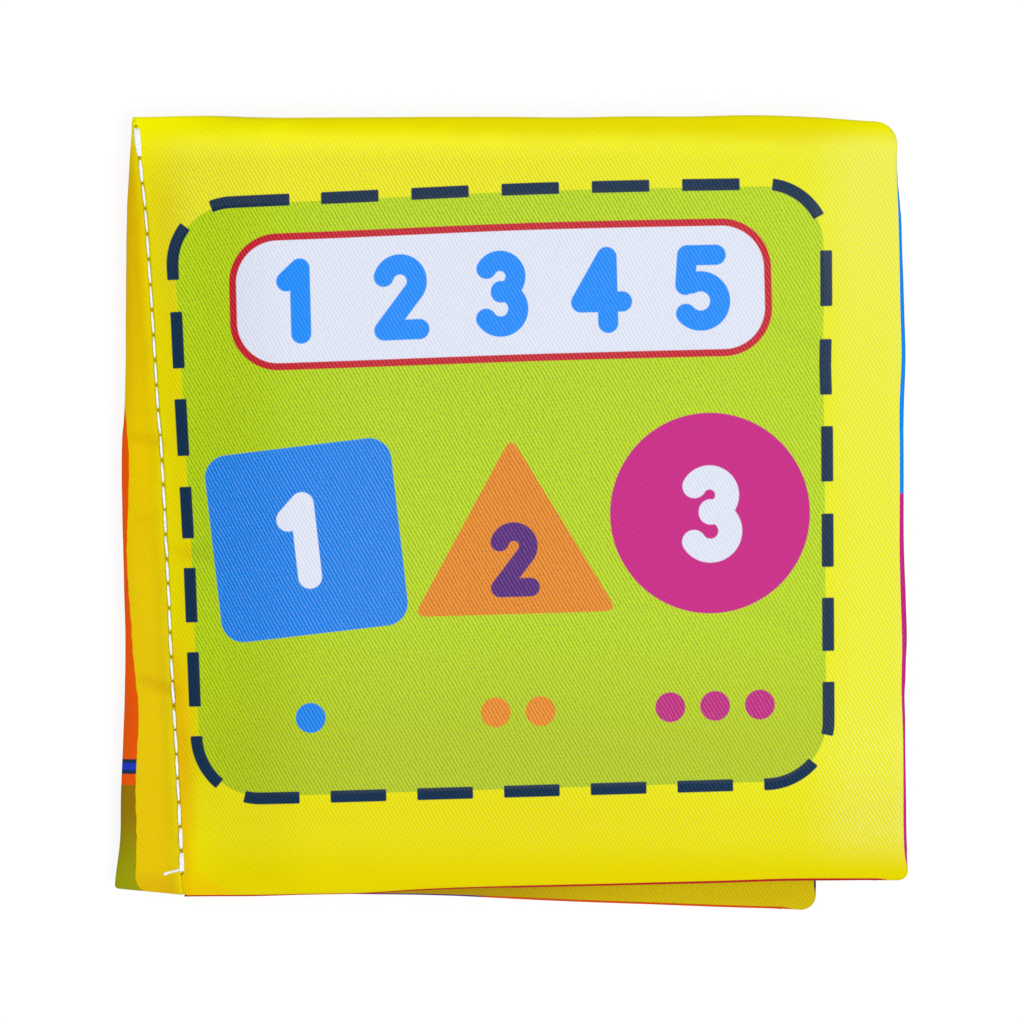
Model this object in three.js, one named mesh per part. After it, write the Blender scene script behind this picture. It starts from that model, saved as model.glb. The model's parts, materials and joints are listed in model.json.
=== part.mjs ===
// Crinkle cloth book, closed, lying on its back cover with the front cover up and the spine at left.
// Two padded sheets, each folded in half, are sewn together by one row of thread close to the fold.
// That makes four leaves: front cover, leaf 2, leaf 3 and back cover.
// Millimetres. +X runs to the fore edge, +Y to the head of the book, +Z up.

import * as THREE from "three";

// Sewn row, which is also the line that every leaf turns about
const rowSlope = 0.0573; // drift to the right for each length on its way from head to tail
const rowTailInset = 2.6; // the row stops this much before the cover's tail edge
const rowGap = 0.6; // from the row's line to the start of each leaf
const stitchPitch = 3.36;
const threadRadius = 0.28;
const stitchDip = 0.3; // how far the thread sinks at each needle hole
const stitchLift = 0.1; // how far it stands proud between two holes
const tailLength = 2.3; // loose end of the thread at the tail of the row
const tailRadius = 0.22;
const tailDrop = 0.5; // how far the loose end runs towards the tail

// Plan of the leaves, measured from the head end of the row
const coverReach = 101.6; // from the row to the fore edge, along the head
const coverHeight = 104; // along the spine
const cornerRadius = 1.4;
const drawIn = 0.4; // how far each side draws in between its corners
const leafNames = ["front_cover", "leaf_2", "leaf_3", "back_cover"];
const reachShares = [1, 0.985, 0.963, 0.93]; // of coverReach
const foreLeanShares = [0.0108, -0.004, -0.0177, -0.0394]; // of coverReach, drift of the fore edge
const headShares = [0.0087, 0.002, 0, 0]; // of coverHeight, head edge above the row's end
const headDropShares = [0.001, 0.005, 0.0135, 0.028]; // of coverHeight, fall of the head edge
const tailShares = [0.9913, 0.9837, 0.9856, 0.9933]; // of coverHeight, tail edge below the row's end
const tailRiseShares = [0.0183, 0.0154, 0.0154, -0.0168]; // of coverHeight, rise of the tail edge

// Padding and stack
const leafThickness = 3.3;
const sewnThickness = 0.95; // of a leaf where it is sewn flat, at its edges and at the row
const pageGap = 0.3; // between two leaves
const edgeRoll = 13; // from an edge to the full thickness
const droopShare = 0.4; // of the free room, how far an edge hangs below the middle of its leaf
const wedgeStart = 1; // from the row, where the leaves begin to part
const wedgeLength = 17;
const flatCut = 0.5; // pressed flat under the back cover

// Layers of a leaf
const clothThickness = 0.3;
const layerGap = 0.3;
const filmThickness = 0.12;
const seamInset = 1.5; // seam thread, in from the edge
const seamStart = 12; // seam thread, in from the row
const seamRadius = 0.15;

// Fold of the outer sheet, left of the row
const foldWidth = 9.05; // at the tail
const foldWidthShares = [0.12, 0.3, 0.375, 0.49, 0.6, 0.65, 0.72, 0.84, 1]; // head to tail
const foldTailSetback = 1.6; // the nose of the fold ends this much before its root
const foldDrop = 0.6; // top of the fold below the row
const foldTopSlope = 0.32;
const foldUnderSlope = 0.2;
const foldRoundShare = 0.77; // exponent of the rounded nose
const foldPadStartShare = 0.2; // of the row, where the fold is wide enough to hold padding

// Grid lines across a leaf, as shares of edgeRoll from an edge and of the wedge from the row
const edgeStepShares = [0, 0.04, 0.14, 0.34, 0.62, 1];
const hingeStepShares = [0, 0.15, 0.35, 0.6, 1];
const innerColumns = 2; // plain columns between the two
const innerRows = 3;
const padFirstColumn = 3; // first grid line of the padding, counted from the row
const padEdgeLines = 3; // grid lines between the padding and the other edges

// Worked out from the sizes above
const lean = Math.atan(rowSlope);
const rowToTail = (coverHeight * tailShares[0]) / Math.cos(lean); // along the row, to the cover's tail edge
const rowLength = rowToTail - rowTailInset;
const leafCount = leafNames.length;
const sewnPitch = sewnThickness + pageGap;
const leafPitch = leafThickness + pageGap;
const sewnStack = leafCount * sewnPitch - pageGap;
const freeStack = leafCount * leafPitch - pageGap;
const rowHeight = (freeStack + sewnStack) / 2;
const coverStitches = Math.round(rowLength / stitchPitch);

// A finish of its own for each piece
function cloth(color) {
  return new THREE.MeshStandardMaterial({ color, roughness: 0.85, metalness: 0 });
}

function sewingThread(color) {
  return new THREE.MeshStandardMaterial({ color, roughness: 0.6, metalness: 0 });
}

function batting() {
  return new THREE.MeshStandardMaterial({ color: 0xf4f2ea, roughness: 1, metalness: 0 });
}

function crinkleFilm() {
  return new THREE.MeshStandardMaterial({ color: 0xd9dde2, roughness: 0.2, metalness: 0 });
}

const outsideColors = { front_cover: 0xf6e60f, leaf_2: 0xf2e41a, leaf_3: 0xf2e41a, back_cover: 0xe58a2c };
const insideColors = { front_cover: 0x1e82e6, leaf_2: 0x9fcf2a, leaf_3: 0xe03a8c, back_cover: 0xf0de12 };

// Row frame: a point so far right of the row, so far along it from its head end, at height z
function besideRow(right, along, z) {
  const x = right * Math.cos(lean) + along * Math.sin(lean);
  const y = right * Math.sin(lean) - along * Math.cos(lean);
  return new THREE.Vector3(x, y, z);
}

function rightOfRow(x, y) {
  return x * Math.cos(lean) + y * Math.sin(lean);
}

// Corner of a leaf on the row side: the point of its starting line at height y of the plan
function hingeCorner(y) {
  return new THREE.Vector2((rowGap - y * Math.sin(lean)) / Math.cos(lean), y);
}

// Plan and stack place of one leaf
function makeLeaf(name, index) {
  const headY = coverHeight * headShares[index];
  const tailY = -coverHeight * tailShares[index];
  const reach = coverReach * reachShares[index];
  const foreHead = new THREE.Vector2(reach, headY - coverHeight * headDropShares[index]);
  const foreTailX = reach + coverReach * foreLeanShares[index];
  const foreTail = new THREE.Vector2(foreTailX, tailY + coverHeight * tailRiseShares[index]);
  const hingeHead = hingeCorner(headY);
  const hingeTail = hingeCorner(tailY);
  return {
    name,
    hingeHead,
    hingeTail,
    foreHead,
    foreTail,
    width: foreHead.x - hingeHead.x,
    height: headY - tailY,
    sewnTop: rowHeight - index * sewnPitch,
    freeTop: freeStack - index * leafPitch,
    flatUnder: index === leafCount - 1,
  };
}

// Share of the full padding at a distance from a sewn edge
function padShare(distance) {
  const rest = 1 - Math.min(1, distance / edgeRoll);
  return Math.sqrt(1 - rest * rest);
}

// How far a corner's arc pulls the fore edge back, at a distance from the head or tail edge
function cornerPull(distance) {
  const rest = Math.max(0, cornerRadius - distance);
  return cornerRadius - Math.sqrt(cornerRadius * cornerRadius - rest * rest);
}

// Surface of a leaf. Share s runs from the row to the fore edge, share t from tail to head.
function leafAt(leaf, s, t) {
  const tailSide = leaf.hingeTail.clone().lerp(leaf.foreTail, s);
  const headSide = leaf.hingeHead.clone().lerp(leaf.foreHead, s);
  const spot = tailSide.lerp(headSide, t);
  const fromTail = t * leaf.height;
  const fromHead = (1 - t) * leaf.height;
  const foreDraw = cornerPull(Math.min(fromTail, fromHead)) + drawIn * Math.sin(Math.PI * t);
  const endDraw = drawIn * Math.sin(Math.PI * s);
  const x = spot.x - s * foreDraw;
  const y = spot.y + endDraw * (1 - t) - endDraw * t;
  const spread = THREE.MathUtils.smoothstep(rightOfRow(x, y), wedgeStart, wedgeStart + wedgeLength);
  const slab = THREE.MathUtils.lerp(sewnThickness, leafThickness, spread);
  const slabTop = THREE.MathUtils.lerp(leaf.sewnTop, leaf.freeTop, spread);
  const fill = padShare((1 - s) * leaf.width) * padShare(fromTail) * padShare(fromHead);
  const thickness = THREE.MathUtils.lerp(sewnThickness, slab, fill);
  const middle = slabTop - slab / 2 - (droopShare * (slab - thickness)) / 2;
  const top = middle + thickness / 2;
  const under = middle - thickness / 2;
  const bottom = leaf.flatUnder ? Math.max(0, under - flatCut * fill * spread) : under;
  return { x, y, top, bottom };
}

// Grid lines of a leaf as shares of its width and height
function gridShares(near, far, plainCount) {
  const plain = [];
  const from = near[near.length - 1];
  const to = 1 - far[far.length - 1];
  for (let i = 1; i <= plainCount; i += 1) {
    plain.push(from + ((to - from) * i) / (plainCount + 1));
  }
  const mirrored = far.map((share) => 1 - share).reverse();
  return [...near, ...plain, ...mirrored];
}

function leafColumns(leaf) {
  const near = hingeStepShares.map((share) => (share * (wedgeStart + wedgeLength)) / leaf.width);
  const far = edgeStepShares.map((share) => (share * edgeRoll) / leaf.width);
  return gridShares(near, far, innerColumns);
}

function leafRows(leaf) {
  const edge = edgeStepShares.map((share) => (share * edgeRoll) / leaf.height);
  return gridShares(edge, edge, innerRows);
}

// Closed solid between two sheets of points with the same rows and columns, upper sheet first
function solidBetween(upper, lower) {
  const rows = upper.length;
  const columns = upper[0].length;
  const positions = [];
  for (const sheet of [upper, lower]) {
    for (const line of sheet) {
      for (const point of line) {
        positions.push(point.x, point.y, point.z);
      }
    }
  }
  const lowerStart = rows * columns;
  const indices = [];
  const quad = (a, b, c, d) => indices.push(a, b, c, a, c, d);
  for (let j = 0; j < rows - 1; j += 1) {
    for (let i = 0; i < columns - 1; i += 1) {
      const a = j * columns + i;
      const d = a + columns;
      quad(a, a + 1, d + 1, d);
      quad(lowerStart + a, lowerStart + d, lowerStart + d + 1, lowerStart + a + 1);
    }
  }
  const rim = [];
  for (let i = 0; i < columns - 1; i += 1) rim.push(i);
  for (let j = 0; j < rows - 1; j += 1) rim.push(j * columns + columns - 1);
  for (let i = columns - 1; i > 0; i -= 1) rim.push((rows - 1) * columns + i);
  for (let j = rows - 1; j > 0; j -= 1) rim.push(j * columns);
  for (let k = 0; k < rim.length; k += 1) {
    const here = rim[k];
    const next = rim[(k + 1) % rim.length];
    quad(here, lowerStart + here, lowerStart + next, next);
  }
  const geometry = new THREE.BufferGeometry();
  geometry.setAttribute("position", new THREE.Float32BufferAttribute(positions, 3));
  geometry.setIndex(indices);
  geometry.computeVertexNormals();
  return geometry;
}

// One layer of a leaf: heights are picked from the leaf's surface at each grid point
function leafLayer(leaf, columns, rows, upperZ, lowerZ) {
  const sheet = (height) =>
    rows.map((t) =>
      columns.map((s) => {
        const at = leafAt(leaf, s, t);
        return new THREE.Vector3(at.x, at.y, height(at));
      }),
    );
  return solidBetween(sheet(upperZ), sheet(lowerZ));
}

function namedMesh(name, geometry, material) {
  const mesh = new THREE.Mesh(geometry, material);
  mesh.name = name;
  return mesh;
}

// Round thread along a smooth path
function threadAlong(points, radius, sides, steps) {
  const ring = new THREE.Shape();
  for (let k = 0; k < sides; k += 1) {
    const angle = (2 * Math.PI * k) / sides;
    const x = radius * Math.cos(angle);
    const y = radius * Math.sin(angle);
    if (k === 0) ring.moveTo(x, y);
    else ring.lineTo(x, y);
  }
  ring.closePath();
  const extrudePath = new THREE.CatmullRomCurve3(points);
  return new THREE.ExtrudeGeometry(ring, { steps, extrudePath, bevelEnabled: false, curveSegments: 1 });
}

// Seam thread of a leaf: inside the turned edges, along head, fore edge and tail
function seamPath(leaf) {
  const side = seamInset / leaf.width;
  const end = seamInset / leaf.height;
  const start = seamStart / leaf.width;
  const turn = (2 * cornerRadius) / leaf.width;
  const between = leafColumns(leaf).filter((s) => s > start + turn && s < 1 - side - 2 * turn);
  const tailRun = [start, ...between, 1 - side - turn].map((s) => [s, end]);
  const foreRun = [
    [1 - side, end + turn],
    [1 - side, 1 / 2],
    [1 - side, 1 - end - turn],
  ];
  const headRun = tailRun.map(([s]) => [s, 1 - end]).reverse();
  return [...tailRun, ...foreRun, ...headRun].map(([s, t]) => {
    const at = leafAt(leaf, s, t);
    return new THREE.Vector3(at.x, at.y, (at.top + at.bottom) / 2);
  });
}

// The five layers of one leaf, upper face first
function leafPieces(leaf) {
  const columns = leafColumns(leaf);
  const rows = leafRows(leaf);
  const padColumns = columns.slice(padFirstColumn, columns.length - padEdgeLines);
  const padRows = rows.slice(padEdgeLines, rows.length - padEdgeLines);
  const filmTop = (at) => at.top - clothThickness - layerGap;
  const filmBottom = (at) => filmTop(at) - filmThickness;
  const padTop = (at) => filmBottom(at) - layerGap;
  const padBottom = (at) => at.bottom + clothThickness + layerGap;
  const upperCloth = leafLayer(leaf, columns, rows, (at) => at.top, (at) => at.top - clothThickness);
  const lowerCloth = leafLayer(leaf, columns, rows, (at) => at.bottom + clothThickness, (at) => at.bottom);
  const film = leafLayer(leaf, padColumns, padRows, filmTop, filmBottom);
  const pad = leafLayer(leaf, padColumns, padRows, padTop, padBottom);
  const seam = threadAlong(seamPath(leaf), seamRadius, 5, 48);
  const upperColor = leaf.flatUnder ? insideColors[leaf.name] : outsideColors[leaf.name];
  const lowerColor = leaf.flatUnder ? outsideColors[leaf.name] : insideColors[leaf.name];
  return [
    namedMesh(`${leaf.name}_upper_cloth`, upperCloth, cloth(upperColor)),
    namedMesh(`${leaf.name}_crinkle_film`, film, crinkleFilm()),
    namedMesh(`${leaf.name}_batting`, pad, batting()),
    namedMesh(`${leaf.name}_lower_cloth`, lowerCloth, cloth(lowerColor)),
    namedMesh(`${leaf.name}_seam_thread`, seam, sewingThread(0xefe9c8)),
  ];
}

// Value of a list of shares, spread evenly from head to tail, at a share of the way
function shareAt(shares, way) {
  const place = THREE.MathUtils.clamp(way, 0, 1) * (shares.length - 1);
  const first = Math.min(Math.floor(place), shares.length - 2);
  return THREE.MathUtils.lerp(shares[first], shares[first + 1], place - first);
}

// Depths of the fold's top and underside below the row, at a distance left of it
function foldTopDepth(left) {
  return foldDrop + foldTopSlope * left;
}

function foldUnderDepth(left) {
  return sewnStack + foldUnderSlope * left;
}

// Place along the row of a fold station: flush with the cover's ends, but the nose stops sooner
function foldAlong(way, left, width) {
  const headEnd = -coverHeight * headShares[0];
  const tailEnd = rowToTail - (foldTailSetback * left) / width;
  return THREE.MathUtils.lerp(headEnd, tailEnd, way);
}

// Outer sheet's cloth round the fold, inset by a wall: from the row over the nose to the underside
function foldLine(way, inset, turns) {
  const width = foldWidth * shareAt(foldWidthShares, way);
  const bulge = width - rowGap - inset;
  const line = [];
  for (let k = 0; k <= turns; k += 1) {
    const angle = (Math.PI * k) / turns;
    const left = rowGap + bulge * Math.pow(Math.sin(angle), foldRoundShare);
    const half = (foldUnderDepth(left) - foldTopDepth(left)) / 2 - inset;
    const lift = Math.sign(Math.cos(angle)) * half * Math.pow(Math.abs(Math.cos(angle)), foldRoundShare);
    const middle = rowHeight - (foldUnderDepth(left) + foldTopDepth(left)) / 2;
    line.push(besideRow(-left, foldAlong(way, left, width), middle + lift));
  }
  const underZ = rowHeight - foldUnderDepth(rowGap) + inset;
  line.push(besideRow(rowGap - layerGap, foldAlong(way, 0, width), underZ));
  return line;
}

function foldCloth() {
  const stations = 12;
  const turns = 10;
  const outer = [];
  const inner = [];
  for (let j = 0; j <= stations; j += 1) {
    outer.push(foldLine(j / stations, 0, turns));
    inner.push(foldLine(j / stations, clothThickness, turns));
  }
  return solidBetween(outer, inner);
}

// Batting inside the fold, as two sheets that meet in a thin round edge at both sides
function foldBatting() {
  const stations = 8;
  const across = 5;
  const inset = clothThickness + layerGap;
  const upper = [];
  const lower = [];
  for (let j = 0; j <= stations; j += 1) {
    const way = THREE.MathUtils.lerp(foldPadStartShare, 1, j / stations);
    const width = foldWidth * shareAt(foldWidthShares, way);
    const from = rowGap + layerGap;
    const to = width - inset;
    const upperLine = [];
    const lowerLine = [];
    for (let i = 0; i <= across; i += 1) {
      const angle = (Math.PI * (i + 1 / 2)) / (across + 1);
      const left = (from + to) / 2 - ((to - from) / 2) * Math.cos(angle);
      const half = ((foldUnderDepth(left) - foldTopDepth(left)) / 2 - inset) * Math.sin(angle);
      const middle = rowHeight - (foldUnderDepth(left) + foldTopDepth(left)) / 2;
      const along = foldAlong(way, left, width);
      upperLine.push(besideRow(-left, along, middle + half));
      lowerLine.push(besideRow(-left, along, middle - half));
    }
    upper.push(upperLine);
    lower.push(lowerLine);
  }
  return solidBetween(upper, lower);
}

// A row of lock stitches: the thread sinks at each hole and stands proud between
function stitchRow(depth, dip, lift) {
  const points = [];
  for (let k = 0; k <= 2 * coverStitches; k += 1) {
    const along = (rowLength * k) / (2 * coverStitches);
    const height = k % 2 === 0 ? -dip : lift;
    points.push(besideRow(0, along, rowHeight - depth + height));
  }
  return threadAlong(points, threadRadius, 5, 4 * coverStitches);
}

// Loose end of the thread, lying on the fold beside the last stitch
function looseEnd() {
  const points = [];
  const segments = 4;
  for (let k = 0; k <= segments; k += 1) {
    const share = k / segments;
    const left = rowGap + tailRadius + tailLength * share;
    const depth = foldTopDepth(left) - tailRadius - layerGap;
    const along = rowLength - tailRadius + tailDrop * share;
    points.push(besideRow(-left, along, rowHeight - depth));
  }
  return threadAlong(points, tailRadius, 6, segments);
}

// The book
const book = new THREE.Group();
for (const [index, name] of leafNames.entries()) {
  const leafGroup = new THREE.Group();
  leafGroup.add(...leafPieces(makeLeaf(name, index)));
  book.add(leafGroup);
}
const gutterDepth = (leafCount / 2) * sewnPitch - pageGap / 2; // between leaf 2 and leaf 3
book.add(
  namedMesh("spine_fold_cloth", foldCloth(), cloth(0xf2dc10)),
  namedMesh("spine_fold_batting", foldBatting(), batting()),
  namedMesh("needle_thread_row", stitchRow(0, stitchDip, stitchLift), sewingThread(0xf5f6f2)),
  namedMesh("bobbin_thread_row", stitchRow(gutterDepth, -stitchLift, -stitchLift), sewingThread(0xf5f6f2)),
  namedMesh("thread_tail", looseEnd(), sewingThread(0xf5f6f2)),
);

// The origin is the middle of the book's footprint, on the surface that it lies on
const extent = new THREE.Box3().setFromObject(book);
const middle = extent.getCenter(new THREE.Vector3());
book.position.set(-middle.x, -middle.y, -extent.min.z);

export default book;
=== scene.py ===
# Crinkle cloth book, closed, seen from straight above.
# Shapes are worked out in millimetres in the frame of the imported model, and meshes are made in metres.
import json
import math
import bpy
import numpy as np
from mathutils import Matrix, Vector


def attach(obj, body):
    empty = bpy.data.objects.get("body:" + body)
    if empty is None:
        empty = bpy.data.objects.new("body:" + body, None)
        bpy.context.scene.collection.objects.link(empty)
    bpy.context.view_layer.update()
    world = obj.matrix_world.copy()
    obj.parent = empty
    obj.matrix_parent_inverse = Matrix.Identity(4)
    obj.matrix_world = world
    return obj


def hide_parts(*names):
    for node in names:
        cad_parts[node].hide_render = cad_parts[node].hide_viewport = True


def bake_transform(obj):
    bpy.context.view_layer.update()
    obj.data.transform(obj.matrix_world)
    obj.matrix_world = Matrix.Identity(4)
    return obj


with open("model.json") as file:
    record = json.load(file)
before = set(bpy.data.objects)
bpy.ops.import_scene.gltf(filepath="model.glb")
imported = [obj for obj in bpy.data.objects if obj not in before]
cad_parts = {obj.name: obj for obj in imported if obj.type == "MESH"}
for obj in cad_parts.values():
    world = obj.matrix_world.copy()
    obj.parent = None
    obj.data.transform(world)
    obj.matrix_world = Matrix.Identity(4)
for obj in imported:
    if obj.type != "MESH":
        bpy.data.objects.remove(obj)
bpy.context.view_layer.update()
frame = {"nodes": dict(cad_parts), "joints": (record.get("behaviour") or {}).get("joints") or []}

MM = 0.001

# Sewn row: head end, height and lean, as the joints have them
hinge = frame["joints"][0]
HEAD = np.array(hinge["pos_m"]) / MM
LEAN = math.atan2(hinge["axis"][0], -hinge["axis"][1])
ROW_LENGTH = 100.7
STITCHES = 30
FIRST_STITCH = 4.3
STITCH_SHRINK = 0.0039
ROW_SHIFTS = (
    -0.72, -0.36, -0.05, 0, 0.03, 0.05, 0.08, 0.22, 0.22, 0.12, 0.08, -0.02, -0.07, -0.1, -0.13, -0.2, -0.3,
)
ROW_SHIFT_REACH = 3.2

# Leaves, front cover first. Lengths run from the head end of the row
LEAVES = ("front_cover", "leaf_2", "leaf_3", "back_cover")
REACH = 101.6
HEIGHT = 104
REACH_SHARES = (1, 0.985, 0.963, 0.933)
FORE_LEANS = (0.0108, -0.004, -0.0177, -0.0394)
HEAD_SHARES = (0.0087, 0.002, 0, 0)
HEAD_DROPS = (0.001, 0.005, 0.0135, 0.028)
TAIL_SHARES = (0.9913, 0.9837, 0.9856, 0.9933)
TAIL_RISES = (0.0183, 0.0154, 0.0154, -0.0168)
CORNER = 1.4
BACK_TAIL_CORNER = 1.9
COVER_HEAD_CORNER = 3.3
ROW_GAP = 0.6
LEAF = 3.3
SEWN = 0.95
PAGE_GAP = 0.3
EDGE_ROLL = 13
DROOP = 0.4
WEDGE_START, WEDGE_LENGTH = 1, 17
FLAT_CUT = 0.5
CLOTH = 0.3
SEWN_PITCH = SEWN + PAGE_GAP
SEWN_STACK = len(LEAVES) * SEWN_PITCH - PAGE_GAP
FREE_STACK = len(LEAVES) * (LEAF + PAGE_GAP) - PAGE_GAP
ROW_Z = (SEWN_STACK + FREE_STACK) / 2

# How far the cover's edges stray outwards from straight lines, evenly spaced
FORE_STRAY = (0, -0.2, 0.27, 0.45, 0.55, 0.7, 0.4, 0.3, 0.25, 0.2, 0.32, 0.42, 0.1, 0.1, 0.1, 0.1, 0.25)
HEAD_STRAY = (0.27, 0.4, 0.12, 0.13, 0.18, 0.24, 0.24, 0.17, 0.32, 0.32, 0.5, 0.25, -0.3)
TAIL_STRAY = (0.5, 0.55, 0.48, 0.46, 0.15, 0.05, 0.06, 0.07, 0.04, 0, -0.1, 0, 0.1)
LEAF_STRAY = (0, -0.22, -0.3, -0.4, -0.32, -0.42, -0.28, -0.2, 0)
BACK_TAIL_STRAY = (0, -0.2, -0.25, -0.34, -0.15, 0.13, 0.3, 0.49, 0.55)

# How far the reverse cloth comes round to the upper side, evenly spaced along each edge
FORE_WRAP = (0.05, 0.05, 0.4, 0.5, 0.55, 0.62, 0.66, 0.6, 0.62, 0.66, 0.7, 0.68, 0.5, 0.36, 0.38, 0.42, 0.34)
TAIL_WRAP = (0.2, 0.18, 0.14, 0.14, 0.18, 0.24, 0.3, 0.33, 0.36, 0.37, 0.37, 0.36, 0.32)
BACK_WRAP = (0.1, 0.1, 0.14, 0.2, 0.26, 0.3, 0.32, 0.34, 0.34)
WRAP_REACH = 3
WRAP_FADE = (0.8, 4)

# Fold of the outer sheet, left of the row, head to tail
FOLD_WIDTHS = (0.48, 1.75, 2.7, 3.25, 3.6, 3.95, 4.45, 5.25, 5.6, 5.85, 6.1, 6.2, 6.65, 7.25, 8, 8.5, 9.6)
FOLD_SETBACK = 1.3
FOLD_HEAD_STRAY = 0.3
FOLD_TAIL_STRAY = 0.27
FOLD_DROP = 0.6
FOLD_DROP_REACH = 2.2
FOLD_TOP_SLOPE = 0.32
FOLD_UNDER_SLOPE = 0.2
FOLD_ROUND = 0.77
FOLD_SHEET = 0.9
FOLD_ROWS, FOLD_ANGLES = 230, 64
# How far the sheets inside the fold keep from the row, as an angle round the fold
INNER_START = 0.2
# Where the back cover's print starts, in from the silhouette, head to tail
PRINT_EDGE = (-1.5, -1.5, -1.3, -1.1, -0.9, -0.6, -0.1, 0.95, 0.85, 0.5, 0.75, 1.15, 2, 1.95, 2.1, 2.6, 3.7)


def smooth(value, start, end):
    share = np.clip((value - start) / (end - start), 0, 1)
    return share * share * (3 - 2 * share)


def mixed(low, high, share):
    return low + (high - low) * share


def along_list(values, share):
    """Smooth curve through evenly spaced values, at shares from 0 to 1."""
    values = np.asarray(values, float)
    place = np.clip(share, 0, 1) * (len(values) - 1)
    first = np.clip(np.floor(place).astype(int), 0, len(values) - 2)
    part = place - first
    before = values[np.maximum(first - 1, 0)]
    here, after = values[first], values[first + 1]
    beyond = values[np.minimum(first + 2, len(values) - 1)]
    slope_in, slope_out = (after - before) / 2, (beyond - here) / 2
    cubic = 2 * (here - after) + slope_in + slope_out
    square = 3 * (after - here) - 2 * slope_in - slope_out
    return here + part * (slope_in + part * (square + part * cubic))


def ripples(across, along, seed):
    """Smooth random heights from -1 to 1 on a lattice of unit cells."""
    lattice = np.random.default_rng(seed).uniform(-1, 1, (97, 97))
    across, along = np.broadcast_arrays(np.asarray(across, float), np.asarray(along, float))
    i, j = np.floor(across).astype(int), np.floor(along).astype(int)
    u, v = smooth(across - i, 0, 1), smooth(along - j, 0, 1)
    size = len(lattice)
    low = mixed(lattice[i % size, j % size], lattice[(i + 1) % size, j % size], u)
    high = mixed(lattice[i % size, (j + 1) % size], lattice[(i + 1) % size, (j + 1) % size], u)
    return mixed(low, high, v)


def beside_row(right, along):
    """Point of the plan so far right of the row and so far along it from its head end."""
    x = HEAD[0] + right * math.cos(LEAN) + along * math.sin(LEAN)
    y = HEAD[1] + right * math.sin(LEAN) - along * math.cos(LEAN)
    return x, y


def row_place(x, y):
    """How far right of the row a point of the plan is, and how far along it."""
    east, north = x - HEAD[0], y - HEAD[1]
    right = east * math.cos(LEAN) + north * math.sin(LEAN)
    along = east * math.sin(LEAN) - north * math.cos(LEAN)
    return right, along


def hole_places():
    """Needle holes along the row. The first stitch is longer, and the rest grow slightly shorter."""
    count = np.arange(STITCHES)
    pitch = (ROW_LENGTH - FIRST_STITCH) / (STITCHES - 1) + STITCH_SHRINK * (STITCHES - 1)
    return np.concatenate([[0], FIRST_STITCH + pitch * count - STITCH_SHRINK * count**2])


def row_shift(right, along):
    """The row isn't quite straight: how far it and the cloth beside it lie to the right."""
    stray = along_list(ROW_SHIFTS, along / ROW_LENGTH)
    return stray * np.exp(-((right / ROW_SHIFT_REACH) ** 2))


def stitch_count(along):
    """How many stitches lie between the row's head end and a place."""
    holes = hole_places()
    beyond = (along - np.clip(along, 0, ROW_LENGTH)) / FIRST_STITCH
    return np.interp(along, holes, np.arange(len(holes))) + beyond


# Soft pulls that cross the row: (right, along) of both ends, height, width
PULLS = (
    ((-4.4, 41.4), (0.5, 42.8), -0.35, 1.1),
    ((-4.6, 45.4), (2, 47), 0.16, 1.2),
    ((-4.6, 53.2), (-0.6, 51.8), -0.2, 1.5),
    ((0.3, 57), (3, 57.8), -0.28, 1.2),
    ((3, 58), (10.5, 56.2), -0.34, 1.5),
    ((0.3, 59.2), (4, 59.6), 0.22, 1),
    ((-5, 74), (0.5, 76.3), -0.4, 1.1),
    ((-5, 77.6), (1, 79.5), 0.2, 1.5),
    ((0.8, 80), (1.6, 96), -0.25, 0.9),
    ((0.5, 20), (9, 24), -0.16, 1.6),
    ((0.5, 30), (7, 33), 0.14, 1.4),
    ((1, 9), (7, 12), -0.15, 1.2),
    ((80, 29.7), (90, 35), -0.2, 1.6),
    ((74, 66.6), (86, 73), -0.2, 1.8),
    ((86, 70), (93, 73), 0.2, 2.5),
)
# Where a pull sets in, from its first end, and where it dies away, from its second
PULL_START, PULL_END = (-2, 1.5), (-2.5, 3)


def pull_heights(right, along):
    total = np.zeros(np.shape(right))
    for start, end, height, width in PULLS:
        run = np.array(end) - np.array(start)
        length = np.hypot(*run)
        forward = ((right - start[0]) * run[0] + (along - start[1]) * run[1]) / length
        side = ((along - start[1]) * run[0] - (right - start[0]) * run[1]) / length
        fade = smooth(forward, *PULL_START) * (1 - smooth(forward - length, *PULL_END))
        total += height * fade * np.exp(-((side / width) ** 2))
    return total


# Wrinkles: height, pitch along the edge that they run in from, length, how soon they fade
GATHERS = (0.16, 2.6, 7, 3)
NEAR_WRINKLES = (0.11, 3.4, 9, 3.2)
FAR_WRINKLES = (0.16, 7.5, 16, 8)
DENT_DEPTH, DENT_REACH = 0.1, 0.9
# Broad waves of a face: height, width, length, step of the seed
BROAD_WAVES = ((0.16, 24, 19, 60), (0.05, 9, 11, 80))
# Faces that press on another one: how high their wrinkles rise, and how far they sink
CALM_TOP, CALM_SINK = 0.1, 0.12
# Where the wrinkles set in: beside the row, behind an edge, and behind the rim of a leaf
ROW_CALM, EDGE_CALM, RIM_CALM = (0, 0.8), (0.2, 1.6), (0.2, 2.5)
# Where the broad waves set in, right of the row, and the wrinkles' steps of the seed: edges, row
WAVES_START = (0, 8)
FORE_SEED, HEAD_SEED, TAIL_SEED, ROW_SEED = 0, 20, 40, 100


def wrinkles(distance, along, seed, height, pitch, length, reach):
    return height * ripples(along / pitch, distance / length, seed) * np.exp(-np.abs(distance) / reach)


def row_pucker(right, along, seed):
    """Small dents that the stitches pull into the cloth beside the row."""
    beat = (1 - np.cos(2 * math.pi * stitch_count(along))) / 2
    dents = -DENT_DEPTH * (1 - beat) * np.exp(-((right / DENT_REACH) ** 2))
    return (dents + wrinkles(right, along, seed, *GATHERS)) * smooth(np.abs(right), *ROW_CALM)


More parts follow.
